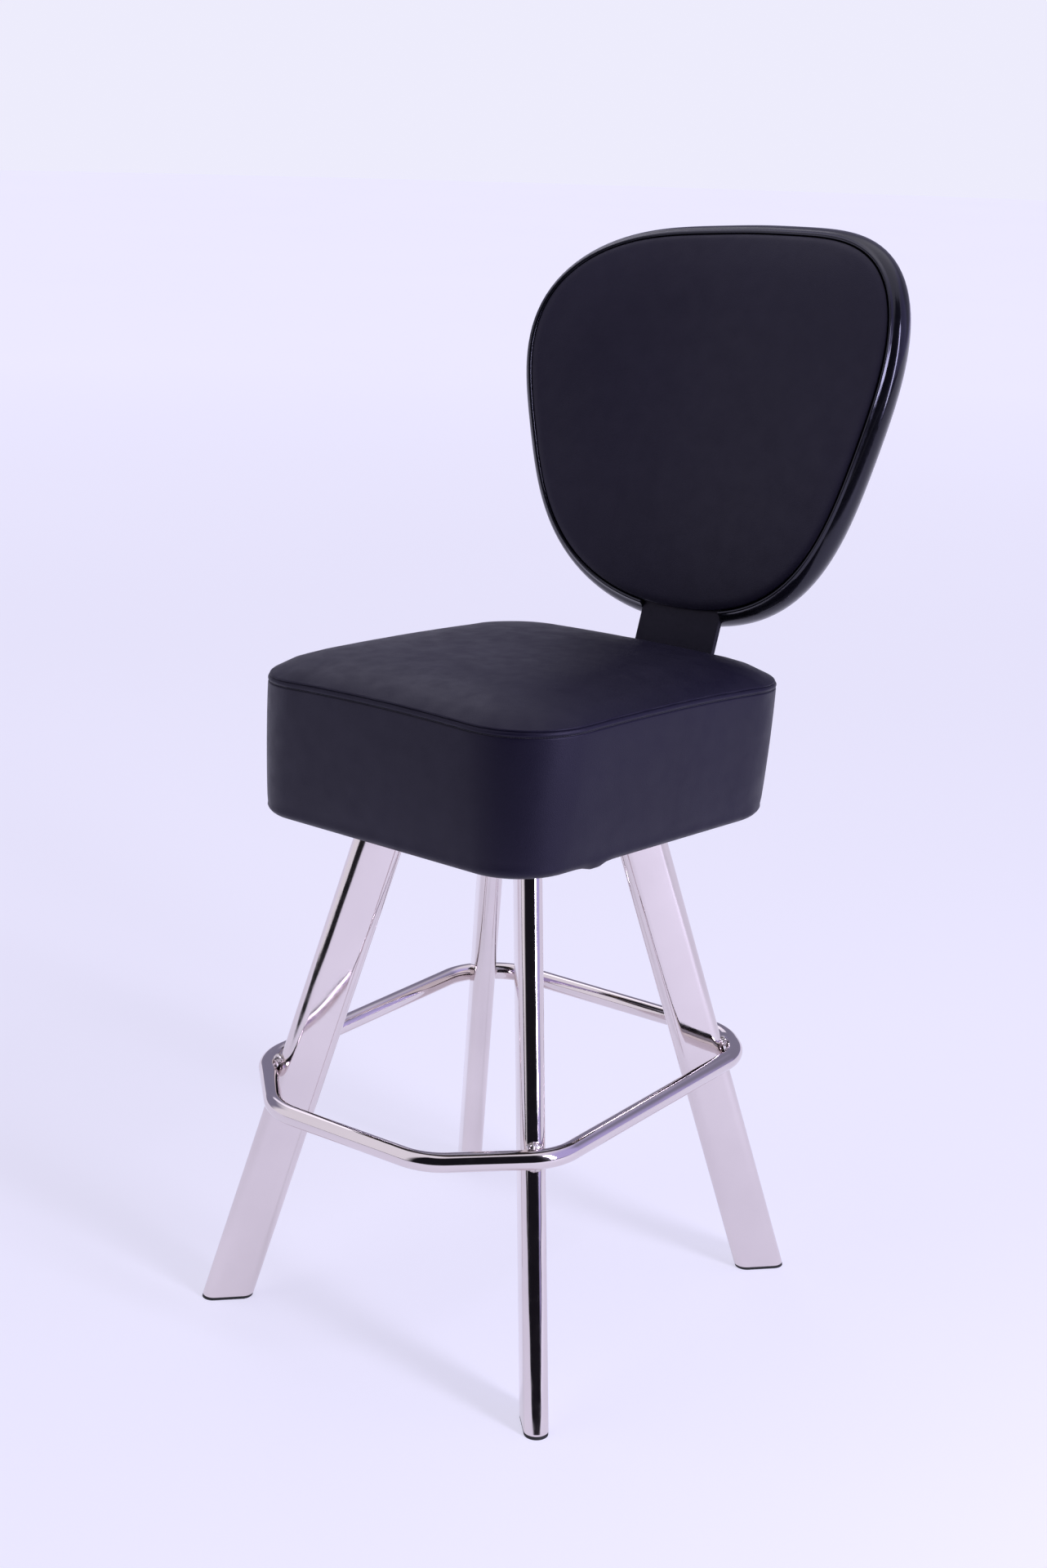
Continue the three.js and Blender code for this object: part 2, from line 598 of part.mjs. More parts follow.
function shellGeometry() {
  const rows = [
    ...flatRows(SHELL_FLOOR),
    { scale: 0.95, depth: SHELL_FLOOR },
    { scale: 1, proud: 0.8, depth: 8 },
    { scale: 1, proud: 0.8, depth: 3 },
    { scale: 1, proud: 2.6, depth: 0.8 },
    { scale: 1, proud: 4.8, depth: 2.6 },
  ];
  for (const degrees of [-54, -32, -8, 18, 44, 72]) {
    const angle = THREE.MathUtils.degToRad(degrees);
    const proud = RIM.proud + RIM.radius * Math.cos(angle);
    rows.push({ scale: 1, proud, depth: RIM.depth + RIM.radius * Math.sin(angle) });
  }
  rows.push(...flatRows(SHELL_DEPTH).reverse());
  const pocket = bracketPocket(PLATE_DEPTH + BRACKET_THICKNESS + GAP);
  const holes = SHELL_SCREWS.map(([x, h]) => shellHole(x, h, PLATE_DEPTH, 14));
  return cut(backrestGeometry(rows), [pocket, ...holes]);
}

// A screw through the bracket plate into the shell, its head in front of the plate.
function shellScrewGeometry() {
  const headDepth = PLATE_DEPTH - GAP;
  const screw = screwGeometry(5, 2.3, SCREW_RADIUS, 12, headDepth, 12);
  return screw.rotateX(-Math.PI / 2);
}

function addSeat(parent) {
  const upperPlate = drilledPlate(
    SWIVEL_PLATE_SIZE, 12, SWIVEL_PLATE_THICKNESS, UPPER_PLATE_BOTTOM, PIVOT_HOLE, SCREW_HOLE);
  addPiece(parent, "swivel_upper_plate", upperPlate, steel);
  const pivotBottom = LOWER_PLATE_BOTTOM - 4;
  const pivotTop = UPPER_PLATE_BOTTOM + SWIVEL_PLATE_THICKNESS;
  const pivotFlange = cylinder(16, 4 - GAP, pivotBottom, 0, 0, 24);
  const pivotShank = cylinder(PIVOT_RADIUS, pivotTop - pivotBottom - 1, pivotBottom + 1, 0, 0, 24);
  addPiece(parent, "swivel_pivot", join(pivotFlange, pivotShank), zinc);
  fourCorners(SWIVEL_BOLT_OFFSET).forEach(([x, y], i) => {
    const screw = screwGeometry(5.5, 3, SCREW_RADIUS, 15, UPPER_PLATE_BOTTOM - GAP, 12);
    addPiece(parent, `seat_screw_${i + 1}`, screw, zinc).position.set(x, y, 0);
  });
  addPiece(parent, "seat_board", boardGeometry(), plywood);
  addPiece(parent, "seat_cushion", cushionGeometry(), blackVinyl);
  addPiece(parent, "dust_cover", dustCoverGeometry(), blackCloth);
  addPiece(parent, "back_bracket", bracketGeometry(), blackSteel);
  BRACKET_SCREWS.forEach(([x, y], i) => {
    const seat = BOARD_BOTTOM - GAP - BRACKET_THICKNESS - GAP;
    const screw = screwGeometry(5.5, 3, SCREW_RADIUS, 17, seat, 12);
    addPiece(parent, `bracket_screw_${i + 1}`, screw, zinc).position.set(x, y, 0);
  });
  const backrest = backrestGroup();
  parent.add(backrest);
  addPiece(backrest, "back_shell", shellGeometry(), glossBlack);
  addPiece(backrest, "back_board", backBoardGeometry(), plywood);
  addPiece(backrest, "back_pad", padGeometry(), blackVinyl);
  SHELL_SCREWS.forEach(([x, h], i) => {
    addPiece(backrest, `shell_screw_${i + 1}`, shellScrewGeometry(), zinc).position.set(x, 0, h);
  });
}

// ---- Assembly ----
const group = new THREE.Group();
const stool = new THREE.Group();
group.add(stool);
addBase(stool);
const seat = new THREE.Group();
seat.rotation.z = SEAT_YAW;
stool.add(seat);
addSeat(seat);

// The origin is the middle of the whole stool's footprint, on the floor.
const box = new THREE.Box3().setFromObject(group, true);
stool.position.set(-(box.min.x + box.max.x) / 2, -(box.min.y + box.max.y) / 2, -box.min.z);

export default group;
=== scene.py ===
import json
import math

import bpy
from mathutils import Matrix, Vector, noise
from mathutils.bvhtree import BVHTree


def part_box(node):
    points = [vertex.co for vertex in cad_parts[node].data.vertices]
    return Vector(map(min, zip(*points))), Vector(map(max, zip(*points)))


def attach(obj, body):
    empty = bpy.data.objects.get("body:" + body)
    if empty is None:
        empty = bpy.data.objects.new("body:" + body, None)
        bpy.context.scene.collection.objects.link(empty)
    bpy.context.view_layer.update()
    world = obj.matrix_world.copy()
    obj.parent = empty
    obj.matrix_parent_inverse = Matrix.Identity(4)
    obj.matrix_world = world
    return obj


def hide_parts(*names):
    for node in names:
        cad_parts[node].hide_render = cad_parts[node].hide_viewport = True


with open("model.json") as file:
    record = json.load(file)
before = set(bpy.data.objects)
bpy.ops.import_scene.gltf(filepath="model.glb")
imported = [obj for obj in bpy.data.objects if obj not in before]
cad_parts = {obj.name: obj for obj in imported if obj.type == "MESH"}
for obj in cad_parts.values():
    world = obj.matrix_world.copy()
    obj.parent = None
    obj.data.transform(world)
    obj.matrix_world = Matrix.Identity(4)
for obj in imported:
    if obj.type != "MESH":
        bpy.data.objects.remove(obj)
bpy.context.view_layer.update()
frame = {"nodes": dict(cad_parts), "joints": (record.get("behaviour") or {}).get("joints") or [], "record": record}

scene = bpy.context.scene

# ---- Driving dimensions, as the CAD has them ----
LEG_WIDTH = 0.0565
LEG_THICKNESS = 0.027
LEG_WALL = 0.002
LEG_FOOT_RADIUS = 0.3197  # from the stool's axis to the middle of a foot
LEG_SLOPE = 0.3104  # inward run for each unit of height
LEG_AZIMUTH = math.radians(46.1)
LEG_SECTION_LENGTH = LEG_WIDTH * math.hypot(1, LEG_SLOPE)  # on a level cut
LEG_EDGE = 0.0007  # rounding of the foot and the top
GAP = 0.0003

BOARD_INSET = 0.013  # the seat board's edge, inside the cushion's
BOARD_CORNER = 0.068

RING_HEIGHT = 0.286
RING_TUBE_RADIUS = 0.0106
RING_FRONT = 0.2784
RING_BACK = 0.2261
RING_SIDE = 0.2042
RING_BEND_RADIUS = 0.066
LEG_FACE_AT_RING = LEG_FOOT_RADIUS - LEG_SLOPE * RING_HEIGHT + LEG_SECTION_LENGTH / 2
RING_CORNER = LEG_FACE_AT_RING + (RING_TUBE_RADIUS + 2 * GAP) * math.hypot(1, LEG_SLOPE)
WELD_SIZE = Vector((0.0062, 0.0085, 0.0052))

SEAT_YAW = math.radians(-6.8)
SEAT_CENTRE_Y = 0.0095
SEAT_LOW = {"width": 0.4248, "depth": 0.4413, "front_corner": 0.0676, "back_corner": 0.0816}
SEAT_HIGH = {"width": 0.4454, "depth": 0.4460, "front_corner": 0.0902, "back_corner": 0.0778}
SEAT_SIDE_BULGE = 0.0026
SEAT_BOTTOM = 0.5829
SEAT_SEAM = 0.7420
SEAT_EDGE_RADIUS = 0.0112
SEAT_FALL = 0.0254  # the top seam's fall toward the back
SEAT_BOTTOM_FALL = 0.0165
SEAT_SIDE_RISE = 0.0342  # the cushion's rise toward the right
SEAT_CORNER_DIP = 0.0073
SEAT_CROWN = 0.0256
SEAM_BAND = 0.012  # the strip below the top seam that holds its relief and its stitches
STITCH_DROP = 0.0065
STITCH_PITCH = 0.0029
STITCH_SHARE = 0.78  # the length of a stitch, as a share of the pitch
STITCH_RADIUS = 0.00042
PUCKER_Y = -0.093  # where the vinyl gathers under the right side
PUCKER_OUT = 0.0025
PUCKER_SAG = 0.005

BACK_TILT = math.radians(16.9)
BACK_LEAN = math.radians(3.05)  # in its own plane, top to the left
BACK_LEAN_PIVOT = -0.150  # up the plane from BACK_Z
BACK_Y = 0.3283  # the pad's edge plane, at BACK_Z
BACK_Z = 0.936
BACK_BEND_RADIUS = 0.549
BACK_CENTRE = 0.1053  # centre of the outline, up the plane from BACK_Z
BACK_OUTLINE = {"mean": 0.2415, "lift": -0.0422, "width": 0.0154, "taper": 0.0143,
                "corners": -0.0031, "shoulders": 0.0061}
PAD_CROWN = 0.026
PAD_EDGE_SCALE = 0.94  # where the crown turns into the rounded edge
PAD_BACK = 0.0022
SHELL_FLOOR = 0.0123
SHELL_DEPTH = 0.042
RIM_PROUD = -0.0053
RIM_DEPTH = 0.0225
RIM_RADIUS = 0.021
PLATE_DEPTH = 0.0045  # the bracket's front face, behind the pad's edge plane
BRACKET_WIDTH = 0.116
BRACKET_THICKNESS = 0.006
BRACKET_TOP_Z = 0.905
BRACKET_SLOT = (0.178, 0.260)  # front and back of the cushion's slot for the bracket

# ---- How the upholstery is filled ----
CLOTH_VOXEL = 0.006
CLOTH_PRESSURE = 4.0
CLOTH_FRAMES = 20
CUSHION_CAP = 0.007  # the simulation moves no point further than this
CUSHION_BLEND = 0.6  # how far the form goes toward the simulated surface
PAD_CAP = 0.008
PAD_BLEND = 0.4
TOOL_REACH = 0.03  # how far a cutting tool stands out of what it cuts

axis = Vector(frame["joints"][0]["pos_m"])
BASE_FRAME = Matrix.Translation((axis.x, axis.y, 0))
SEAT_FRAME = BASE_FRAME @ Matrix.Rotation(SEAT_YAW, 4, "Z")
BACK_FRAME = (SEAT_FRAME @ Matrix.Translation((0, BACK_Y, BACK_Z))
              @ Matrix.Rotation(-BACK_TILT, 4, "X"))


# ---- Materials ----
class Look:
    """A procedural material: a Principled shader and the nodes that vary it, in object space."""

    def __init__(self, name, **sockets):
        self.material = bpy.data.materials.new(name)
        self.material.use_nodes = True
        self.tree = self.material.node_tree
        self.shader = self.tree.nodes["Principled BSDF"]
        for key, value in sockets.items():
            self.shader.inputs[key.replace("_", " ")].default_value = value
        self.place = self.tree.nodes.new("ShaderNodeTexCoord").outputs["Object"]
        self.height = None

    def node(self, kind, **settings):
        made = self.tree.nodes.new(kind)
        for key, value in settings.items():
            setattr(made, key, value)
        return made

    def link(self, output, target):
        self.tree.links.new(output, target)

    def stretched(self, scale):
        mapping = self.node("ShaderNodeMapping")
        mapping.inputs["Scale"].default_value = scale
        self.link(self.place, mapping.inputs["Vector"])
        return mapping.outputs["Vector"]

    def noise(self, scale, detail=2.0, roughness=0.5, stretch=(1, 1, 1)):
        made = self.node("ShaderNodeTexNoise")
        made.inputs["Scale"].default_value = scale
        made.inputs["Detail"].default_value = detail
        made.inputs["Roughness"].default_value = roughness
        self.link(self.stretched(stretch), made.inputs["Vector"])
        return made.outputs["Fac"]

    def cells(self, scale):
        made = self.node("ShaderNodeTexVoronoi", feature="F1")
        made.inputs["Scale"].default_value = scale
        self.link(self.place, made.inputs["Vector"])
        return made.outputs["Distance"]

    def ranged(self, value, low, high, from_low=0.3, from_high=0.7):
        made = self.node("ShaderNodeMapRange", clamp=True)
        made.inputs["From Min"].default_value = from_low
        made.inputs["From Max"].default_value = from_high
        made.inputs["To Min"].default_value = low
        made.inputs["To Max"].default_value = high
        self.link(value, made.inputs["Value"])
        return made.outputs["Result"]

    def colours(self, value, first, second):
        made = self.node("ShaderNodeMix", data_type="RGBA")
        made.inputs["A"].default_value = (*first, 1)
        made.inputs["B"].default_value = (*second, 1)
        self.link(value, made.inputs["Factor"])
        self.link(made.outputs["Result"], self.shader.inputs["Base Color"])

    def dot(self, vector, direction):
        made = self.node("ShaderNodeVectorMath", operation="DOT_PRODUCT")
        made.inputs[1].default_value = direction
        self.link(vector, made.inputs[0])
        return made.outputs["Value"]

    def length(self, vector):
        made = self.node("ShaderNodeVectorMath", operation="LENGTH")
        self.link(vector, made.inputs[0])
        return made.outputs["Value"]

    def multiplied(self, first, second):
        made = self.node("ShaderNodeMath", operation="MULTIPLY")
        self.link(first, made.inputs[0])
        self.link(second, made.inputs[1])
        return made.outputs[0]

    def varied(self, socket, value):
        self.link(value, self.shader.inputs[socket])

    def bump(self, value, distance):
        made = self.node("ShaderNodeBump")
        made.inputs["Distance"].default_value = distance
        self.link(value, made.inputs["Height"])
        if self.height is not None:
            self.link(self.height, made.inputs["Normal"])
        self.height = made.outputs["Normal"]
        self.link(self.height, self.shader.inputs["Normal"])


def vinyl():
    look = Look("black_vinyl", Specular_IOR_Level=0.30, Specular_Tint=(0.78, 0.72, 1, 1))
    tone = look.ranged(look.noise(7, 3), 0, 1)
    look.colours(tone, (0.0052, 0.0042, 0.0135), (0.0074, 0.0062, 0.0175))
    look.varied("Roughness", look.ranged(look.noise(45, 4), 0.40, 0.50))
    look.bump(look.cells(900), 0.00009)
    look.bump(look.noise(2400, 2), 0.00004)
    look.bump(look.noise(14, 2), 0.0005)
    return look.material


def thread():
    look = Look("black_thread", Roughness=0.6, Sheen_Weight=0.2)
    look.colours(look.noise(900, 2), (0.006, 0.006, 0.011), (0.020, 0.019, 0.032))
    look.bump(look.noise(3000, 1, stretch=(1, 1, 4)), 0.0001)
    return look.material


def polished_metal():
    look = Look("chrome", Metallic=1.0)
    look.colours(look.noise(9, 3), (0.68, 0.615, 0.615), (0.81, 0.74, 0.735))
    look.varied("Roughness", look.ranged(look.noise(70, 5, 0.65), 0.035, 0.11))
    look.bump(look.noise(9, 1), 0.0016)
    look.bump(look.noise(900, 3), 0.000006)
    return look.material


def weld_metal():
    look = Look("weld_chrome", Metallic=1.0)
    look.colours(look.noise(160, 3), (0.50, 0.45, 0.44), (0.82, 0.76, 0.76))
    look.varied("Roughness", look.ranged(look.noise(400, 3), 0.08, 0.25))
    look.bump(look.noise(420, 3), 0.0008)
    return look.material


def plated_steel(name, light, dark, grain):
    look = Look(name, Metallic=1.0)
    look.colours(look.noise(110, 4), dark, light)
    look.varied("Roughness", look.ranged(look.noise(260, 4), 0.3, 0.5))
    look.bump(look.noise(700, 3, stretch=(grain, 1, 1)), 0.00004)
    return look.material


def painted_steel():
    look = Look("black_steel", Specular_IOR_Level=0.18, Specular_Tint=(0.78, 0.72, 1, 1))
    look.colours(look.noise(30, 3), (0.0055, 0.0050, 0.0100), (0.0080, 0.0075, 0.0140))
    look.varied("Roughness", look.ranged(look.noise(300, 4), 0.36, 0.5))
    look.bump(look.noise(1100, 3), 0.00005)
    return look.material


def gloss_plastic():
    look = Look("gloss_black", Specular_IOR_Level=0.35, Specular_Tint=(0.72, 0.70, 1, 1),
                Coat_Weight=0.3, Coat_Roughness=0.04)
    look.colours(look.noise(12, 2), (0.0035, 0.0035, 0.0055), (0.0055, 0.0055, 0.0080))
    look.varied("Roughness", look.ranged(look.noise(180, 4), 0.14, 0.24))
    look.bump(look.noise(120, 1), 0.00006)
    return look.material


def rubber():
    look = Look("black_rubber")
    look.colours(look.noise(300, 4), (0.007, 0.007, 0.008), (0.018, 0.018, 0.020))
    look.varied("Roughness", look.ranged(look.noise(500, 3), 0.55, 0.8))
    look.bump(look.noise(1600, 2), 0.00008)
    return look.material


def dust_cloth():
    look = Look("black_cloth", Roughness=0.95, Sheen_Weight=0.2)
    look.colours(look.noise(500, 4), (0.007, 0.007, 0.008), (0.017, 0.017, 0.018))
    look.bump(look.cells(1100), 0.0002)
    look.bump(look.noise(60, 3), 0.0006)
    return look.material


def plywood():
    look = Look("plywood")
    grain = look.ranged(look.noise(26, 5, 0.6, (1, 0.12, 6)), 0, 1)
    look.colours(grain, (0.30, 0.165, 0.075), (0.52, 0.34, 0.18))
    look.varied("Roughness", look.ranged(look.noise(200, 3), 0.6, 0.8))
    look.bump(look.noise(240, 3, stretch=(1, 0.08, 1)), 0.0002)
    return look.material


MATERIALS = {
    "chrome": polished_metal(),
    "steel": plated_steel("steel", (0.55, 0.56, 0.58), (0.40, 0.41, 0.43), 0.1),
    "zinc": plated_steel("zinc", (0.70, 0.71, 0.74), (0.52, 0.53, 0.57), 1),
    "black_steel": painted_steel(),
    "black_vinyl": vinyl(),
    "gloss_black": gloss_plastic(),
    "black_rubber": rubber(),
    "black_cloth": dust_cloth(),
    "plywood": plywood(),
}
WELD = weld_metal()


# ---- Meshes ----
def add_piece(name, vertices, faces, slot, body, sharp_angle=35):
    mesh = bpy.data.meshes.new(name)
    mesh.from_pydata([tuple(v) for v in vertices], [], faces)
    mesh.shade_smooth()
    mesh.set_sharp_from_angle(angle=math.radians(sharp_angle))
    mesh.materials.append(MATERIALS[slot])
    piece = bpy.data.objects.new(name, mesh)
    scene.collection.objects.link(piece)
    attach(piece, body)
    return piece


def loft(loops, closed=False, first_centre=None, last_centre=None):
    """Vertices and faces that join equal closed loops in order, with a fan at either end if asked."""
    count = len(loops[0])
    vertices = [point for loop in loops for point in loop]
    faces = []
    spans = len(loops) if closed else len(loops) - 1
    for row in range(spans):
        low = row * count
        high = (row + 1) % len(loops) * count
        for i in range(count):
            j = (i + 1) % count
            faces.append((low + i, low + j, high + j, high + i))
    if first_centre is not None:
        vertices.append(first_centre)
        faces += [((i + 1) % count, i, len(vertices) - 1) for i in range(count)]
    if last_centre is not None:
        vertices.append(last_centre)
        start = (len(loops) - 1) * count
        faces += [(start + i, start + (i + 1) % count, len(vertices) - 1) for i in range(count)]
    return vertices, faces


def merged(parts):
    """Several (vertices, faces) pairs as one."""
    vertices = []
    faces = []
    for part_vertices, part_faces in parts:
        start = len(vertices)
        vertices += part_vertices
        faces += [tuple(start + i for i in face) for face in part_faces]
    return vertices, faces


def evaluated_mesh(piece):
    depsgraph = bpy.context.evaluated_depsgraph_get()
    return bpy.data.meshes.new_from_object(piece.evaluated_get(depsgraph))


# ---- Base ----
def flat_oval(length, width, end_steps=20):
    """A level flat-oval section, counterclockwise, long side along X."""
    half = (length - width) / 2
    points = []
    for side in (1, -1):
        for i in range(end_steps + 1):
            angle = -math.pi / 2 + math.pi * i / end_steps
            points.append(Vector((side * (half + width / 2 * math.cos(angle)),
                                  side * width / 2 * math.sin(angle), 0)))
    return points


def leg_loop(grow, z):
    """The leg's section at one height, in the leg's own frame with +X outward."""
    section = flat_oval(LEG_SECTION_LENGTH + 2 * grow, LEG_THICKNESS + 2 * grow)
    shift = Vector((LEG_FOOT_RADIUS - LEG_SLOPE * z, 0, z))
    return [point + shift for point in section]


def add_leg(place, azimuth):
    low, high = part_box(f"leg_{place}")
    bottom, top = low.z, high.z
    edge = LEG_EDGE
    loops = [
        leg_loop(-edge, bottom),
        leg_loop(-edge * 0.3, bottom + edge * 0.3),
        leg_loop(0, bottom + edge),
        leg_loop(0, bottom + 3 * edge),
        leg_loop(0, top - edge),
        leg_loop(0, top),
        leg_loop(-LEG_WALL, top),
        leg_loop(-LEG_WALL, bottom),
    ]
    turn = BASE_FRAME @ Matrix.Rotation(azimuth, 4, "Z")
    vertices, faces = loft([[turn @ point for point in loop] for loop in loops], closed=True)
    leg = add_piece(f"tube_leg_{place}", vertices, faces, "chrome", "base")
    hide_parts(f"leg_{place}")


def side_crossing(first, second):
    """Where two sides of the ring's octagon meet, each given by its outward angle and distance."""
    scale = math.sin(second[0] - first[0])
    x = (first[1] * math.sin(second[0]) - second[1] * math.sin(first[0])) / scale
    y = (second[1] * math.cos(first[0]) - first[1] * math.cos(second[0])) / scale
    return Vector((x, y))


def ring_path(steps_per_bend=14):
    """Points round the foot ring's centre line, each with its outward direction."""
    corner = LEG_AZIMUTH
    sides = [(0, RING_SIDE), (corner, RING_CORNER), (math.pi / 2, RING_BACK), (math.pi - corner, RING_CORNER),
             (math.pi, RING_SIDE), (math.pi + corner, RING_CORNER), (1.5 * math.pi, RING_FRONT),
             (2 * math.pi - corner, RING_CORNER)]
    path = []
    for i, side in enumerate(sides):
        following = sides[(i + 1) % len(sides)]
        crossing = side_crossing(side, following)
        turn = (following[0] - side[0]) % (2 * math.pi)
        bisector = side[0] + turn / 2
        reach = RING_BEND_RADIUS / math.cos(turn / 2)
        centre = crossing - reach * Vector((math.cos(bisector), math.sin(bisector)))
        for step in range(steps_per_bend + 1):
            angle = side[0] + turn * step / steps_per_bend
            outward = Vector((math.cos(angle), math.sin(angle)))
            path.append((centre + RING_BEND_RADIUS * outward, outward))
    return path


def add_foot_ring():
    sides = 28
    loops = []
    for point, outward in ring_path():
        loop = []
        for i in range(sides):
            angle = 2 * math.pi * i / sides
            reach = point + outward * RING_TUBE_RADIUS * math.cos(angle)
            height = RING_HEIGHT + RING_TUBE_RADIUS * math.sin(angle)
            loop.append(BASE_FRAME @ Vector((reach.x, reach.y, height)))
        loops.append(loop)
    loops.reverse()
    vertices, faces = loft(loops, closed=True)
    ring = add_piece("bent_foot_ring", vertices, faces, "chrome", "base")
    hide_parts("foot_ring")


def lumpy_bead(centre, size, turn, seed):
    """A weld bead: an ellipsoid with overlapping ripples along Y and small lumps."""
    rows = 22
    count = 32
    loops = []
    for row in range(1, rows):
        tilt = math.pi * row / rows
        loop = []
        for i in range(count):
            angle = 2 * math.pi * i / count
            girth = math.sin(tilt)
            way = Vector((girth * math.cos(angle), -math.cos(tilt), girth * math.sin(angle)))
            ripple = 0.07 * math.cos(26 * tilt)
            lump = 0.16 * noise.noise(way * 2.2 + Vector((seed, 0, 0)))
            reach = 1 + ripple + lump
            loop.append(centre + turn @ Vector((way.x * size.x, way.y * size.y, way.z * size.z)) * reach)
        loops.append(loop)
    ends = [centre + turn @ Vector((0, -size.y, 0)), centre + turn @ Vector((0, size.y, 0))]
    return loft(loops, first_centre=ends[0], last_centre=ends[1])


def add_welds(place, azimuth, seed):
    turn = Matrix.Rotation(azimuth, 3, "Z")
    for level in ("above", "below"):
        low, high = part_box(f"weld_{level}_{place}")
        vertices, faces = lumpy_bead((low + high) / 2, WELD_SIZE, turn, seed)
        bead = add_piece(f"bead_{level}_{place}", vertices, faces, "chrome", "base")
        bead.data.materials[0] = WELD
        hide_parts(f"weld_{level}_{place}")
        seed += 7


def add_base():
    legs = {"front_right": -LEG_AZIMUTH, "back_right": LEG_AZIMUTH,
            "back_left": math.pi - LEG_AZIMUTH, "front_left": math.pi + LEG_AZIMUTH}
    for seed, (place, azimuth) in enumerate(legs.items()):
        add_leg(place, azimuth)
        add_welds(place, azimuth, 20 * seed)
    add_foot_ring()


# ---- Cloth simulation ----
def inflated(vertices, faces, pinned):
    """The surface after air pressure has filled it, with the pinned stretches held as by their seams."""
    mesh = bpy.data.meshes.new("cloth")
    mesh.from_pydata([tuple(v) for v in vertices], [], faces)
    cloth = bpy.data.objects.new("cloth", mesh)
    scene.collection.objects.link(cloth)
    remesh = cloth.modifiers.new("remesh", "REMESH")
    remesh.mode = "VOXEL"
    remesh.voxel_size = CLOTH_VOXEL
    cloth.data = evaluated_mesh(cloth)
    cloth.modifiers.clear()
    held = cloth.vertex_groups.new(name="held")
    start = [vertex.co.copy() for vertex in cloth.data.vertices]
    for i, point in enumerate(start):
        weight = pinned(point)
        if weight > 0:
            held.add([i], weight, "REPLACE")
    modifier = cloth.modifiers.new("cloth", "CLOTH")
    settings = modifier.settings
    settings.quality = 4
    settings.mass = 0.3
    settings.tension_stiffness = 25
    settings.compression_stiffness = 25
    settings.shear_stiffness = 15
    settings.bending_stiffness = 2
    settings.use_pressure = True
    settings.uniform_pressure_force = CLOTH_PRESSURE
    settings.effector_weights.gravity = 0
    settings.vertex_group_mass = "held"
    modifier.point_cache.frame_start = 1
    modifier.point_cache.frame_end = CLOTH_FRAMES
    for frame_number in range(1, CLOTH_FRAMES + 1):
        scene.frame_set(frame_number)
    moved = evaluated_mesh(cloth)
    ends = [vertex.co.copy() for vertex in moved.vertices]
    cloth.modifiers.clear()
    scene.frame_set(1)
    return cloth, start, ends


def settle(cloth, start, ends, cap, smoothing):
    """Moves each point by its share of the simulated movement, never past the cap, and subdivides."""
    for vertex, begin, end in zip(cloth.data.vertices, start, ends):
        move = end - begin
        vertex.co = begin + move * (cap / (cap + move.length))
    smooth = cloth.modifiers.new("smooth", "SMOOTH")
    smooth.factor = 0.5
    smooth.iterations = smoothing
    divide = cloth.modifiers.new("divide", "SUBSURF")
    divide.levels = 1
    cloth.data = evaluated_mesh(cloth)
    cloth.modifiers.clear()
    return cloth


def surface_of(cloth):
    tree = BVHTree.FromPolygons([v.co.copy() for v in cloth.data.vertices],
                                [tuple(p.vertices) for p in cloth.data.polygons])
    bpy.data.objects.remove(cloth)
    return tree


# ---- Seat ----
def seat_outline(share, corner_steps=22, side_steps=26):
    """Points round the cushion, counterclockwise, at a share of the way from its bottom to its seam."""
    size = {key: SEAT_LOW[key] + (SEAT_HIGH[key] - SEAT_LOW[key]) * share for key in SEAT_LOW}
    x = size["width"] / 2
    y = size["depth"] / 2
    front = size["front_corner"]
    back = size["back_corner"]
    corners = [(x - front, front - y, front), (x - back, y - back, back),
               (back - x, y - back, back), (front - x, front - y, front)]
    points = []
    for quarter, (cx, cy, radius) in enumerate(corners):
        for step in range(corner_steps + 1):
            angle = math.pi / 2 * (quarter - 1 + step / corner_steps)
            points.append(Vector((cx + radius * math.cos(angle), cy + radius * math.sin(angle))))
        ahead_x, ahead_y, ahead_radius = corners[(quarter + 1) % 4]
        angle = math.pi / 2 * quarter
        end = Vector((ahead_x, ahead_y)) + ahead_radius * Vector((math.cos(angle), math.sin(angle)))
        begin = points[-1].copy()
        points += [begin.lerp(end, step / side_steps) for step in range(1, side_steps)]
    return points


def seat_place(x, y, share, rise):
    """A point of the seat's plan, with the tilts and droops of its height."""
    corner = 4 * x * y / (SEAT_HIGH["width"] * SEAT_HIGH["depth"])
    top = SEAT_FALL * y + SEAT_CORNER_DIP * corner ** 2
    tilt = SEAT_SIDE_RISE * x - top * share - SEAT_BOTTOM_FALL * y * (1 - share)
    z = SEAT_BOTTOM + (SEAT_SEAM - SEAT_BOTTOM) * share + rise + tilt
    return SEAT_FRAME @ Vector((x, y + SEAT_CENTRE_Y, z))


def seat_loop(share, inset=0.0, rise=0.0, bulge=SEAT_SIDE_BULGE):
    """One loop: the outline at a share of the height, bulged, inset along its normals and lifted."""
    outline = seat_outline(share)
    count = len(outline)
    shift = bulge * 4 * share * (1 - share) - inset
    loop = []
    for i, point in enumerate(outline):
        along = outline[(i + 1) % count] - outline[i - 1]
        outward = Vector((along.y, -along.x)).normalized()
        loop.append(seat_place(point.x + outward.x * shift, point.y + outward.y * shift, share, rise))
    return loop


def scaled_seat_loop(share, scale, rise):
    return [seat_place(point.x * scale, point.y * scale, share, rise) for point in seat_outline(share)]


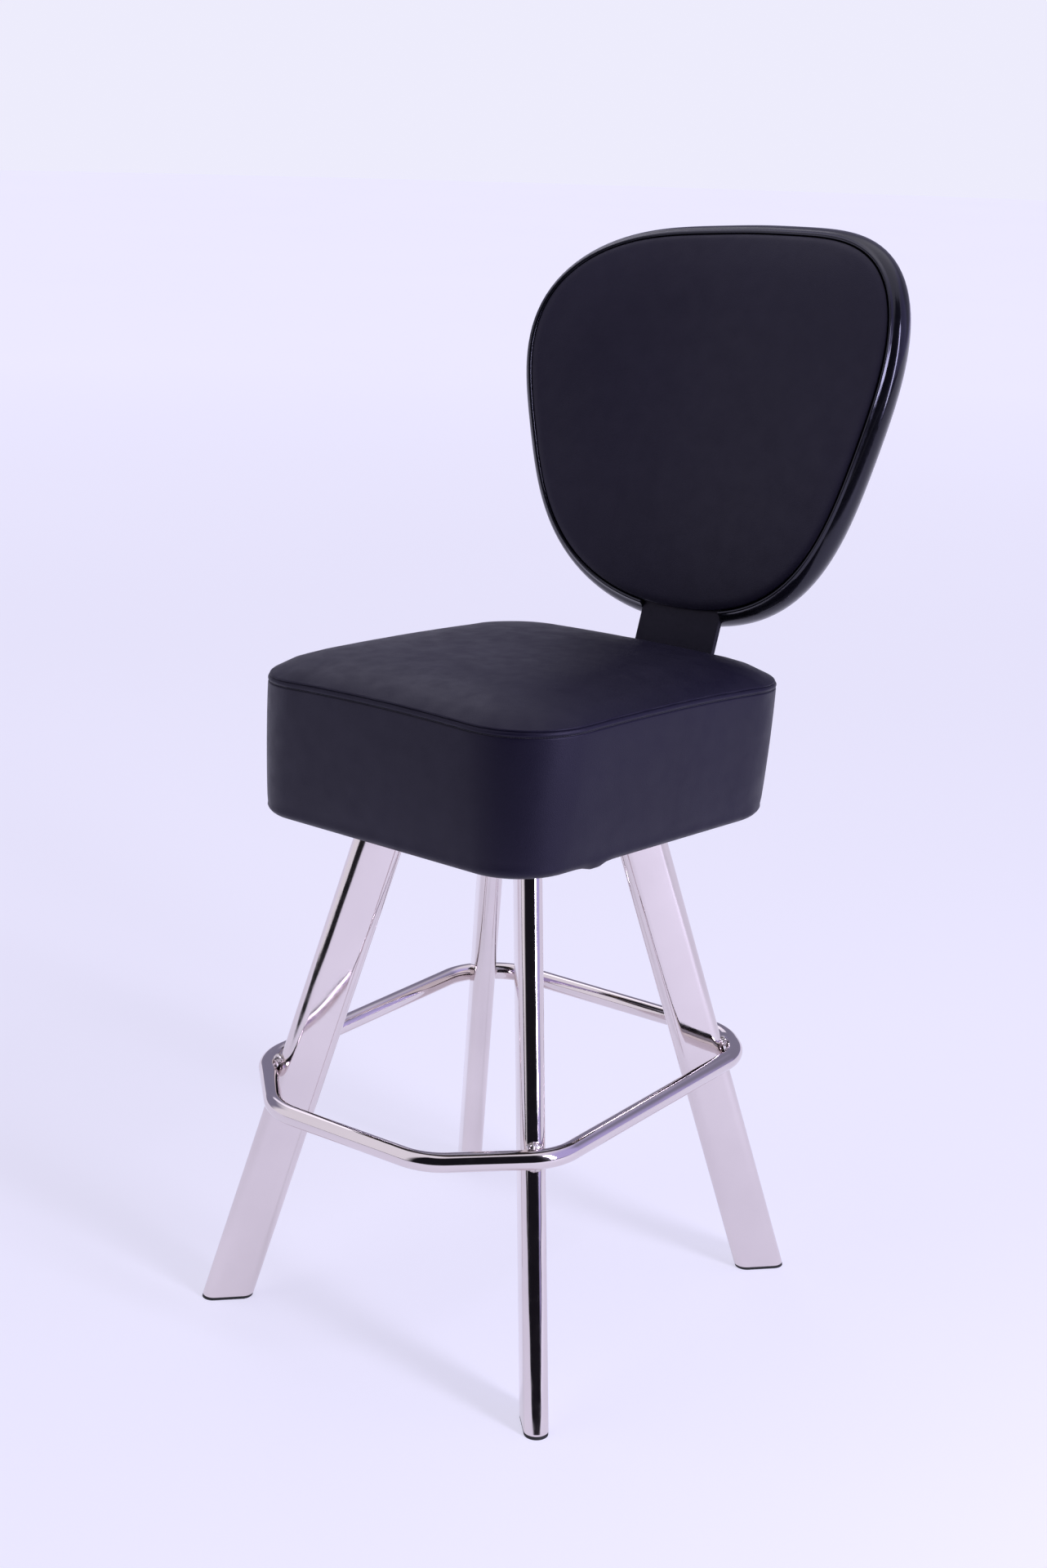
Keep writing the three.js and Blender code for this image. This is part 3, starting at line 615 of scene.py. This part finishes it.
def seat_loops(crown, bulge):
    """Loops from the bottom's middle to the top's, and how far each lies below the top seam."""
    height = SEAT_SEAM - SEAT_BOTTOM
    edge = SEAT_EDGE_RADIUS
    loops = []
    drops = []
    for scale in (0.15, 0.4, 0.65, 0.8, 0.88):
        loops.append(scaled_seat_loop(0, scale, 0))
        drops.append(height)
    for step in range(7):
        angle = math.pi / 2 * step / 6
        share = edge * (1 - math.cos(angle)) / height
        loops.append(seat_loop(share, inset=edge * (1 - math.sin(angle)), bulge=bulge))
        drops.append(height * (1 - share))
    side_rows = 16
    low_share = edge / height
    high_share = 1 - SEAM_BAND / height
    for step in range(1, side_rows):
        share = low_share + (high_share - low_share) * step / side_rows
        loops.append(seat_loop(share, bulge=bulge))
        drops.append(height * (1 - share))
    band_rows = 30
    for step in range(band_rows + 1):
        drop = SEAM_BAND * (1 - step / band_rows)
        loops.append(seat_loop(1 - drop / height, bulge=bulge))
        drops.append(drop)
    shoulder = 0.0024
    for degrees in (15, 30, 50, 70, 90):
        angle = math.radians(degrees)
        loops.append(seat_loop(1, shoulder * (1 - math.cos(angle)), shoulder * math.sin(angle)))
        drops.append(-shoulder * angle)
    for step in range(1, 21):
        scale = 0.986 * (1 - step / 20.5) ** 1.3
        loops.append(scaled_seat_loop(1, scale, shoulder + (crown - shoulder) * (1 - scale ** 6)))
        drops.append(-1)
    return loops, drops


def seat_hold(point):
    """The seams and the board's edge hold the cushion; its panels are free to fill."""
    local = SEAT_FRAME.inverted() @ point
    x, y = local.x, local.y - SEAT_CENTRE_Y
    seam = (SEAT_FRAME.inverted() @ seat_place(x, y, 1, 0)).z
    above_board = min(max((local.z - SEAT_BOTTOM - SEAT_EDGE_RADIUS) / 0.01, 0), 1)
    from_seam = min(abs(local.z - seam) / 0.005, 1)
    if local.z > seam + 0.002:
        near_edge = max(abs(x) / SEAT_HIGH["width"], abs(y) / SEAT_HIGH["depth"]) > 0.4875
        from_seam = 0 if near_edge else 1
    return 1 - min(above_board, from_seam)


def seam_relief(drop):
    """How far the surface stands out, at a distance below the top seam along the boxing."""
    crease = -0.0012 * math.exp(-((drop / 0.0008) ** 2))
    ridge = 0.0007 * math.exp(-(((drop - 0.0035) / 0.0019) ** 2))
    pulled = -0.0013 * math.exp(-(((drop - STITCH_DROP) / 0.0009) ** 2))
    return crease + ridge + pulled


def pucker(local):
    """How far the vinyl gathers outward and sags where it is pulled under, on the right side."""
    along = math.exp(-(((local.y - PUCKER_Y) / 0.013) ** 2))
    low = math.exp(-(((local.z - SEAT_BOTTOM - 0.004) / 0.012) ** 2))
    on_right = 1 if local.x > 0.15 else 0
    return along * low * on_right


def add_cushion():
    height = SEAT_SEAM - SEAT_BOTTOM
    loops, drops = seat_loops(SEAT_CROWN, SEAT_SIDE_BULGE)
    start_crown = SEAT_CROWN - 0.005
    start_loops, _ = seat_loops(start_crown, SEAT_SIDE_BULGE - 0.002)
    vertices, faces = loft(start_loops, first_centre=seat_place(0, 0, 0, 0),
                           last_centre=seat_place(0, 0, 1, start_crown))
    surface = surface_of(settle(*inflated(vertices, faces, seat_hold), cap=CUSHION_CAP, smoothing=6))
    for loop, drop in zip(loops, drops):
        if drop > height - SEAT_EDGE_RADIUS:
            continue
        for i, point in enumerate(loop):
            loop[i] = point.lerp(surface.find_nearest(point)[0], CUSHION_BLEND)
    for loop, drop in zip(loops, drops):
        relief = seam_relief(drop) if abs(drop) < SEAM_BAND else 0
        count = len(loop)
        outward = []
        for i in range(count):
            along = loop[(i + 1) % count] - loop[i - 1]
            outward.append(Vector((along.y, -along.x, 0)).normalized())
        for i in range(count):
            gather = pucker(SEAT_FRAME.inverted() @ loop[i])
            sag = Vector((0, 0, PUCKER_SAG * gather))
            loop[i] = loop[i] + outward[i] * (relief + PUCKER_OUT * gather) - sag
    top_centre = sum(loops[-1], Vector()) / len(loops[-1])
    top_centre.z += 0.0001
    bottom_centre = sum(loops[0], Vector()) / len(loops[0])
    vertices, faces = loft(loops, first_centre=bottom_centre, last_centre=top_centre)
    cushion = add_piece("vinyl_seat_cushion", vertices, faces, "black_vinyl", "seat", sharp_angle=80)
    hollow_cushion(cushion)
    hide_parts("seat_cushion")
    return cushion


def hollow_cushion(cushion):
    """Opens the cushion from below for the board and the bracket's foot."""
    board_low, board_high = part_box("seat_board")
    half_x = SEAT_LOW["width"] / 2 - BOARD_INSET + GAP
    half_y = SEAT_LOW["depth"] / 2 - BOARD_INSET + GAP
    corner = BOARD_CORNER + GAP
    loops = []
    for z in (SEAT_BOTTOM - TOOL_REACH, board_high.z + GAP):
        loop = []
        for quarter, (sx, sy) in enumerate([(1, -1), (1, 1), (-1, 1), (-1, -1)]):
            for step in range(13):
                angle = math.pi / 2 * (quarter - 1 + step / 12)
                x = sx * (half_x - corner) + corner * math.cos(angle)
                y = sy * (half_y - corner) + corner * math.sin(angle) + SEAT_CENTRE_Y
                loop.append(SEAT_FRAME @ Vector((x, y, z)))
        loops.append(loop)
    ends = [sum(loop, Vector()) / len(loop) for loop in loops]
    room = solid_piece("room", *loft(loops, first_centre=ends[0], last_centre=ends[1]))
    slot_half = BRACKET_WIDTH / 2 + 0.001
    slot = box_piece("slot", Vector((-slot_half, BRACKET_SLOT[0], SEAT_BOTTOM - TOOL_REACH)),
                     Vector((slot_half, BRACKET_SLOT[1], board_low.z + 0.0002)), SEAT_FRAME)
    for tool in (room, slot):
        subtract(cushion, tool)
    cushion.data.shade_smooth()
    cushion.data.set_sharp_from_angle(angle=math.radians(60))


def capsule(centre, along, out, length, radius):
    """A stitch: a round-ended bar lying along a direction."""
    side = along.cross(out)
    count = 7
    loops = []
    for share, girth in ((-0.48, 0.45), (-0.38, 0.85), (0, 1.0), (0.38, 0.85), (0.48, 0.45)):
        loop = []
        for i in range(count):
            angle = 2 * math.pi * i / count
            ring = out * math.sin(angle) + side * math.cos(angle)
            loop.append(centre + along * length * share + ring * radius * girth)
        loops.append(loop)
    return loft(loops, first_centre=centre - along * length / 2, last_centre=centre + along * length / 2)


def add_topstitching(cushion):
    surface = BVHTree.FromPolygons([v.co.copy() for v in cushion.data.vertices],
                                   [tuple(p.vertices) for p in cushion.data.polygons])
    outline = seat_loop(1 - STITCH_DROP / (SEAT_SEAM - SEAT_BOTTOM))
    count = len(outline)
    lengths = [(outline[(i + 1) % count] - outline[i]).length for i in range(count)]
    stitches = round(sum(lengths) / STITCH_PITCH)
    pitch = sum(lengths) / stitches
    parts = []
    i = 0
    walked = 0.0
    for stitch in range(stitches):
        wanted = stitch * pitch
        while walked + lengths[i] < wanted:
            walked += lengths[i]
            i += 1
        along = (outline[(i + 1) % count] - outline[i]).normalized()
        point = outline[i] + along * (wanted - walked)
        outward = Vector((along.y, -along.x, 0)).normalized()
        hit, normal, _, _ = surface.ray_cast(point + outward * 0.03, -outward)
        if hit is not None:
            centre = hit + outward * 0.0001
            parts.append(capsule(centre, along, outward, pitch * STITCH_SHARE, STITCH_RADIUS))
    vertices, faces = merged(parts)
    stitching = add_piece("seat_topstitching", vertices, faces, "black_vinyl", "seat", sharp_angle=180)
    stitching.data.materials[0] = thread()


# ---- Dust cover ----
COVER_WIDTH = 0.384
COVER_LENGTH = 0.400
COVER_CORNER = 0.062
COVER_THICKNESS = 0.0004
COVER_WINDOW = 0.083  # half the opening round the swivel plate
COVER_SLOT = 0.059  # half the slot for the bracket, from the window to the back edge
COVER_SLOT_FLARE = 0.006
COVER_SLACK = 0.0028
COVER_TUCK = 0.0011  # how far the edge hangs between staples
COVER_STEPS = 240
STAPLE_STEP = 10  # steps of the edge between staples
STAPLE_INSET = 0.005
STAPLE_LENGTH = 0.010
STAPLE_RADIUS = 0.0005


def spaced(path, count):
    """Points at equal steps along a path of straight pieces."""
    lengths = [(b - a).length for a, b in zip(path, path[1:])]
    total = sum(lengths)
    points = []
    i = 0
    passed = 0.0
    for step in range(count + 1):
        wanted = total * step / count
        while i < len(lengths) - 1 and passed + lengths[i] < wanted:
            passed += lengths[i]
            i += 1
        points.append(path[i].lerp(path[i + 1], min((wanted - passed) / lengths[i], 1)))
    return points


def cover_edges():
    """The cover's outer and inner edges, from the slot's right side round the front to its left side."""
    back = SEAT_CENTRE_Y + COVER_LENGTH / 2
    x = COVER_WIDTH / 2 - COVER_CORNER
    y = COVER_LENGTH / 2 - COVER_CORNER
    outer = [Vector((COVER_SLOT + COVER_SLOT_FLARE, back))]
    for quarter, (cx, cy) in enumerate([(x, y), (x, -y), (-x, -y), (-x, y)]):
        for step in range(9):
            angle = math.pi / 2 * (1 - quarter - step / 8)
            outer.append(Vector((cx + COVER_CORNER * math.cos(angle),
                                 SEAT_CENTRE_Y + cy + COVER_CORNER * math.sin(angle))))
    outer.append(Vector((-COVER_SLOT - COVER_SLOT_FLARE, back)))
    w, n = COVER_WINDOW, COVER_SLOT
    inner = [Vector(c) for c in ((n, back), (n, w), (w, w), (w, -w), (-w, -w), (-w, w), (-n, w), (-n, back))]
    return outer, inner


def add_dust_cover():
    """Thin cloth stapled under the board, a little slack between its edges and its staples."""
    board_low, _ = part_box("seat_board")
    top = board_low.z - 0.0004
    outer, inner = (spaced(path, COVER_STEPS) for path in cover_edges())
    across = 16
    layers = []
    for drop in (0, COVER_THICKNESS):
        for step in range(across + 1):
            share = step / across
            row = []
            for i, (far, near) in enumerate(zip(outer, inner)):
                place = far.lerp(near, share)
                waver = 1 + 0.6 * noise.noise(Vector((*place, 0)) * 22)
                slack = COVER_SLACK * math.sin(math.pi * share) * waver
                swing = 1 - math.cos(2 * math.pi * i / STAPLE_STEP)
                scallop = COVER_TUCK * (1 - share) ** 6 * swing / 2
                row.append(SEAT_FRAME @ Vector((place.x, place.y, top - drop - slack - scallop)))
            layers.append(row)
    count = len(outer)
    rows = across + 1
    vertices = [point for row in layers for point in row]
    faces = []
    for step in range(across):
        for i in range(count - 1):
            a = step * count + i
            b = a + count
            faces.append((a, a + 1, b + 1, b))
            faces.append(tuple(v + rows * count for v in (b, b + 1, a + 1, a)))
    for step in (0, across):
        for i in range(count - 1):
            a = step * count + i
            side = (a, a + rows * count, a + 1 + rows * count, a + 1)
            faces.append(side if step == 0 else tuple(reversed(side)))
    for end in (0, count - 1):
        for step in range(across):
            a = step * count + end
            side = (a, a + count, a + count + rows * count, a + rows * count)
            faces.append(side if end == 0 else tuple(reversed(side)))
    cover = add_piece("stapled_dust_cover", vertices, faces, "black_cloth", "seat", sharp_angle=60)
    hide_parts("dust_cover")
    add_staples(outer, top - COVER_THICKNESS)


def add_staples(edge, z):
    """Staples along the cover's outer edge, one at each tuck."""
    parts = []
    half_step = STAPLE_STEP // 2
    for i in range(half_step, len(edge) - half_step, STAPLE_STEP):
        along = (edge[i + 1] - edge[i - 1]).normalized()
        inward = Vector((along.y, -along.x)) * STAPLE_INSET
        centre = edge[i] + inward
        middle = SEAT_FRAME @ Vector((centre.x, centre.y, z - 0.0006))
        way = (SEAT_FRAME.to_3x3() @ Vector((along.x, along.y, 0))).normalized()
        parts.append(capsule(middle, way, Vector((0, 0, 1)), STAPLE_LENGTH, STAPLE_RADIUS))
    vertices, faces = merged(parts)
    add_piece("cover_staples", vertices, faces, "zinc", "seat", sharp_angle=180)


# ---- Backrest ----
def back_outline(count=168):
    shape = BACK_OUTLINE
    points = []
    for i in range(count):
        angle = 2 * math.pi * i / count
        radius = (shape["mean"] + shape["lift"] * math.sin(angle) + shape["width"] * math.cos(2 * angle)
                  + shape["taper"] * math.sin(3 * angle) + shape["corners"] * math.cos(4 * angle)
                  + shape["shoulders"] * math.sin(5 * angle))
        points.append(Vector((radius * math.cos(angle), radius * math.sin(angle))))
    return points


def back_point(x, h, depth):
    """A point of the backrest, bent round the sitter and leaning to the left about its bracket."""
    up = h + BACK_CENTRE - BACK_LEAN_PIVOT
    across = x * math.cos(BACK_LEAN) - up * math.sin(BACK_LEAN)
    leant_up = x * math.sin(BACK_LEAN) + up * math.cos(BACK_LEAN)
    return BACK_FRAME @ Vector((across, depth - x * x / (2 * BACK_BEND_RADIUS), leant_up + BACK_LEAN_PIVOT))


def unleant_x(local):
    up = local.z - BACK_LEAN_PIVOT
    return local.x * math.cos(BACK_LEAN) + up * math.sin(BACK_LEAN)


def back_loops(rows):
    """Loops from the front's middle to the back's. A row is its scale, its outward shift and its depth."""
    outline = back_outline()
    count = len(outline)
    loops = []
    for scale, proud, depth in rows:
        loop = []
        for i, point in enumerate(outline):
            along = outline[(i + 1) % count] - outline[i - 1]
            outward = Vector((along.y, -along.x)).normalized()
            place = point * scale + outward * proud
            loop.append(back_point(place.x, place.y, depth))
        loops.append(loop)
    return loops


def pad_rows(crown):
    """The pad: a crowned front, a rounded edge that turns into the gap, and a flat back."""
    rows = []
    crown_rows = 14
    for i in range(1, crown_rows + 1):
        scale = PAD_EDGE_SCALE * i / crown_rows
        rows.append((scale, 0, -crown * (1 - scale ** 4)))
    edge_depth = -crown * (1 - PAD_EDGE_SCALE ** 4)
    for scale, share in ((0.955, 0.80), (0.968, 0.60), (0.979, 0.40), (0.988, 0.18), (0.994, 0.0)):
        rows.append((scale, 0, edge_depth * share))
    rows += [(0.998, 0, 0.0008), (0.998, 0, 0.0016)]
    rows += [(scale, 0, PAD_BACK) for scale in (0.985, 0.8, 0.6, 0.4, 0.2)]
    return rows


def pad_hold(point):
    local = BACK_FRAME.inverted() @ point
    depth = local.y + unleant_x(local) ** 2 / (2 * BACK_BEND_RADIUS)
    return 1 - min(max((-depth - 0.002) / 0.004, 0), 1)


def add_pad():
    rows = pad_rows(PAD_CROWN)
    loops = back_loops(rows)
    centres = [back_point(0, 0, -PAD_CROWN), back_point(0, 0, PAD_BACK)]
    start_crown = PAD_CROWN - 0.006
    start_loops = back_loops(pad_rows(start_crown))
    vertices, faces = loft(start_loops, first_centre=back_point(0, 0, -start_crown),
                           last_centre=centres[1])
    surface = surface_of(settle(*inflated(vertices, faces, pad_hold), cap=PAD_CAP, smoothing=24))
    for loop, (scale, _, depth) in zip(loops, rows):
        share = PAD_BLEND * min(max((0.965 - scale) / 0.1, 0), 1) if depth < 0 else 0
        for i, point in enumerate(loop):
            loop[i] = point.lerp(surface.find_nearest(point)[0], share)
    centres[0] = centres[0].lerp(surface.find_nearest(centres[0])[0], PAD_BLEND)
    vertices, faces = loft(loops, first_centre=centres[0], last_centre=centres[1])
    pad = add_piece("vinyl_back_pad", vertices, faces, "black_vinyl", "seat", sharp_angle=80)
    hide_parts("back_pad")


def shell_rows():
    """The moulded shell: a floor behind the pad, an inner lip beside it, a round rim and a flat back."""
    rows = [(scale, 0, SHELL_FLOOR) for scale in (0.2, 0.4, 0.6, 0.8, 0.95)]
    rows += [(1, 0.0004, 0.0105), (1, 0.0008, 0.008), (1, 0.0008, 0.004)]
    lip_place = 0.0030
    lip_radius = 0.0022
    for degrees in range(180, 346, 15):
        angle = math.radians(degrees)
        rows.append((1, lip_place + lip_radius * math.cos(angle), lip_place + lip_radius * math.sin(angle)))
    for degrees in range(-56, 84, 7):
        angle = math.radians(degrees)
        rows.append((1, RIM_PROUD + RIM_RADIUS * math.cos(angle), RIM_DEPTH + RIM_RADIUS * math.sin(angle)))
    edge_depth = RIM_DEPTH + RIM_RADIUS
    for step in range(1, 6):
        share = step / 5
        rows.append((1 - 0.07 * share, 0, edge_depth + (SHELL_DEPTH - edge_depth) * share))
    rows += [(scale, 0, SHELL_DEPTH) for scale in (0.8, 0.6, 0.4, 0.2)]
    return rows


def solid_piece(name, vertices, faces):
    """A plain mesh that only serves as a cutting tool."""
    mesh = bpy.data.meshes.new(name)
    mesh.from_pydata([tuple(v) for v in vertices], [], faces)
    piece = bpy.data.objects.new(name, mesh)
    scene.collection.objects.link(piece)
    return piece


def box_piece(name, low, high, place):
    corners = [place @ Vector((x, y, z))
               for z in (low.z, high.z) for y in (low.y, high.y) for x in (low.x, high.x)]
    faces = [(0, 2, 3, 1), (4, 5, 7, 6), (0, 1, 5, 4), (2, 6, 7, 3), (0, 4, 6, 2), (1, 3, 7, 5)]
    return solid_piece(name, corners, faces)


def subtract(piece, tool):
    """Cuts the tool out of the piece, and removes the tool."""
    cut = piece.modifiers.new("cut", "BOOLEAN")
    cut.operation = "DIFFERENCE"
    cut.solver = "EXACT"
    cut.object = tool
    cut_mesh = evaluated_mesh(piece)
    piece.modifiers.clear()
    piece.data = cut_mesh
    bpy.data.objects.remove(tool)


def add_shell():
    loops = back_loops(shell_rows())
    centres = [back_point(0, 0, SHELL_FLOOR), back_point(0, 0, SHELL_DEPTH)]
    vertices, faces = loft(loops, first_centre=centres[0], last_centre=centres[1])
    shell = add_piece("moulded_back_shell", vertices, faces, "gloss_black", "seat")
    pocket_top = (BRACKET_TOP_Z - BACK_Z) / math.cos(BACK_TILT) + 0.012
    half = BRACKET_WIDTH / 2 + GAP
    pocket = box_piece("pocket", Vector((-half, -TOOL_REACH, -0.4)),
                       Vector((half, PLATE_DEPTH + BRACKET_THICKNESS + GAP, pocket_top)), BACK_FRAME)
    subtract(shell, pocket)
    shell.data.shade_smooth()
    shell.data.set_sharp_from_angle(angle=math.radians(32))
    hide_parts("back_shell")


# ---- CAD pieces that stay ----
EDGE_WIDTHS = {"back_bracket": 0.0012, "base_plate": 0.0006}
PLAIN_EDGE = 0.0003


def finish_cad_pieces():
    slots = {part["node"]: part["material_slot"] for part in frame["record"]["subparts"]}
    for name, piece in frame["nodes"].items():
        piece.data.materials.clear()
        piece.data.materials.append(MATERIALS[slots[name]])
        if piece.hide_render:
            continue
        bevel = piece.modifiers.new("edges", "BEVEL")
        bevel.width = EDGE_WIDTHS.get(name, PLAIN_EDGE)
        bevel.segments = 2
        bevel.limit_method = "ANGLE"
        bevel.angle_limit = math.radians(38)
        bevel.harden_normals = False


# ---- Studio ----
CAMERA_FROM_AXIS = Vector((1.4958, -2.0363, 1.3710))
CAMERA_AZIMUTH = math.radians(36.01)
CAMERA_PITCH = math.radians(16.66)
CAMERA_ROLL = math.radians(1.69)
CAMERA_LENS = 54.31
BACKDROP = (0.85, 0.84, 0.975)
FLOOR_GLOW = (0.60, 0.585, 0.72)  # with the light it catches, the floor matches the backdrop
STUDIO_LEFT = (0.88, 0.86, 0.98)
STUDIO_RIGHT = (0.52, 0.47, 0.88)
STUDIO_FAR = (0.24, 0.23, 0.34)
UNLIT_ROOM = (0.010, 0.009, 0.014)


def add_camera():
    data = bpy.data.cameras.new("camera")
    data.lens = CAMERA_LENS
    data.sensor_width = 36
    data.clip_end = 100
    camera = bpy.data.objects.new("camera", data)
    forward = Vector((-math.sin(CAMERA_AZIMUTH) * math.cos(CAMERA_PITCH),
                      math.cos(CAMERA_AZIMUTH) * math.cos(CAMERA_PITCH), -math.sin(CAMERA_PITCH)))
    right = Vector((math.cos(CAMERA_AZIMUTH), math.sin(CAMERA_AZIMUTH), 0))
    up = right.cross(forward)
    rolled_right = math.cos(CAMERA_ROLL) * right + math.sin(CAMERA_ROLL) * up
    rolled_up = -math.sin(CAMERA_ROLL) * right + math.cos(CAMERA_ROLL) * up
    turn = Matrix((rolled_right, rolled_up, -forward)).transposed()
    camera.matrix_world = Matrix.Translation(Vector((axis.x, axis.y, 0)) + CAMERA_FROM_AXIS) @ turn.to_4x4()
    scene.collection.objects.link(camera)
    scene.camera = camera


def add_floor():
    count = 96
    loops = []
    for radius in (0.5, 1, 2, 4, 8, 16, 30):
        loops.append([Vector((radius * math.cos(2 * math.pi * i / count),
                              radius * math.sin(2 * math.pi * i / count), 0)) for i in range(count)])
    vertices, faces = loft(loops, first_centre=Vector((0, 0, 0)))
    faces = [tuple(reversed(face)) for face in faces]
    mesh = bpy.data.meshes.new("studio_floor")
    mesh.from_pydata([tuple(v) for v in vertices], [], faces)
    floor = bpy.data.objects.new("studio_floor", mesh)
    look = Look("floor", Roughness=0.9, Specular_IOR_Level=0.0, Emission_Color=(*FLOOR_GLOW, 1))
    # The pale floor glows a little more far off, to meet the backdrop. From 2.0 to 2.5 m toward the camera its
    # colour and glow fade nearly to black: painted shade, a dark floor round the camera for the chrome to reflect.
    toward_camera = look.dot(look.place, (math.sin(CAMERA_AZIMUTH), -math.cos(CAMERA_AZIMUTH), 0))
    # Painted shade: the floor's colour and glow fall to 2% from 2.0 to 2.5 m toward the camera.
    painted_shade_fade = look.ranged(toward_camera, 1, 0.02, 2.0, 2.5)
    mottle = look.ranged(look.noise(0.6, 1), 0.97, 1)
    look.colours(look.multiplied(painted_shade_fade, mottle), (0, 0, 0), (0.36, 0.36, 0.38))
    distance = look.length(look.place)
    look.varied("Emission Strength", look.multiplied(painted_shade_fade, look.ranged(distance, 0.94, 1.12, 0.5, 9.0)))
    mesh.materials.append(look.material)
    scene.collection.objects.link(floor)


class WorldNodes:
    """The world's node tree, with short ways to add a sum, a smooth ramp and a colour mix."""

    def __init__(self, world):
        self.tree = world.node_tree

    def math(self, operation, first, second=None):
        node = self.tree.nodes.new("ShaderNodeMath")
        node.operation = operation
        for socket, value in zip(node.inputs, (first, second)):
            if isinstance(value, (int, float)):
                socket.default_value = value
            elif value is not None:
                self.tree.links.new(value, socket)
        return node.outputs[0]

    def ramp(self, value, low, high):
        node = self.tree.nodes.new("ShaderNodeMapRange")
        node.interpolation_type = "SMOOTHSTEP"
        node.inputs["From Min"].default_value = low
        node.inputs["From Max"].default_value = high
        self.tree.links.new(value, node.inputs["Value"])
        return node.outputs["Result"]

    def mix(self, factor, first, second):
        node = self.tree.nodes.new("ShaderNodeMix")
        node.data_type = "RGBA"
        self.tree.links.new(factor, node.inputs["Factor"])
        for socket, value in ((node.inputs["A"], first), (node.inputs["B"], second)):
            if isinstance(value, tuple):
                socket.default_value = (*value, 1)
            else:
                self.tree.links.new(value, socket)
        return node.outputs["Result"]

    def directions(self):
        """The view direction's X, Y and Z."""
        generated = self.tree.nodes.new("ShaderNodeTexCoord").outputs["Generated"]
        parts = self.tree.nodes.new("ShaderNodeSeparateXYZ")
        self.tree.links.new(generated, parts.inputs[0])
        return parts.outputs

    def along(self, x, y, way_x, way_y):
        """How far a direction points along a level way."""
        return self.math("ADD", self.math("MULTIPLY", x, way_x), self.math("MULTIPLY", y, way_y))


def add_world():
    """A bright studio all round, dark above the floor on the camera's side as an unlit room is."""
    world = bpy.data.worlds.new("studio")
    world.use_nodes = True
    scene.world = world
    nodes = WorldNodes(world)
    x, y, z = nodes.directions()
    level = nodes.math("SQRT", nodes.math("ADD", nodes.math("MULTIPLY", x, x), nodes.math("MULTIPLY", y, y)))
    toward = nodes.along(x, y, math.sin(CAMERA_AZIMUTH), -math.cos(CAMERA_AZIMUTH))
    facing = nodes.math("DIVIDE", toward, nodes.math("MAXIMUM", level, 0.001))
    side = nodes.ramp(facing, math.cos(math.radians(58)), math.cos(math.radians(42)))
    below_top = nodes.math("SUBTRACT", 1.0, nodes.ramp(z, 0.93, 0.99))
    room = nodes.math("MULTIPLY", side, nodes.math("MULTIPLY", nodes.ramp(z, -0.04, 0.0), below_top))
    away = nodes.ramp(nodes.math("MULTIPLY", facing, -1.0), 0.15, 0.45)
    far_side = nodes.math("MULTIPLY", away, nodes.ramp(z, 0.0, 0.06))
    far = nodes.math("MULTIPLY", far_side, nodes.math("SUBTRACT", 1.0, nodes.ramp(z, 0.55, 0.8)))
    rightward = nodes.along(x, y, math.cos(CAMERA_AZIMUTH), math.sin(CAMERA_AZIMUTH))
    around = nodes.mix(nodes.ramp(rightward, 0.2, 0.7), STUDIO_LEFT, STUDIO_RIGHT)
    seen_in_gloss = nodes.mix(room, nodes.mix(far, around, STUDIO_FAR), UNLIT_ROOM)
    seen_by_camera = world.node_tree.nodes.new("ShaderNodeLightPath").outputs["Is Camera Ray"]
    background = world.node_tree.nodes["Background"]
    world.node_tree.links.new(nodes.mix(seen_by_camera, seen_in_gloss, BACKDROP), background.inputs["Color"])


def add_softbox(name, place, target, width, height, power, colour):
    data = bpy.data.lights.new(name, "AREA")
    data.shape = "RECTANGLE"
    data.size = width
    data.size_y = height
    data.energy = power
    data.color = colour
    light = bpy.data.objects.new(name, data)
    light.location = place
    light.rotation_euler = (Vector(target) - Vector(place)).to_track_quat("-Z", "Y").to_euler()
    scene.collection.objects.link(light)


def add_studio():
    add_floor()
    add_world()
    add_softbox("softbox_right", (2.3, -0.3, 1.7), (0, 0, 0.9), 0.35, 2.4, 60, (0.80, 0.78, 1))
    add_softbox("softbox_left", (-1.9, 1.2, 2.3), (0, 0, 0.75), 1.2, 1.2, 4, (0.9, 0.88, 1))
    scene.view_settings.view_transform = "Standard"


# ---- The stool ----
add_camera()
add_base()
add_topstitching(add_cushion())
add_dust_cover()
add_pad()
add_shell()
finish_cad_pieces()
add_studio()
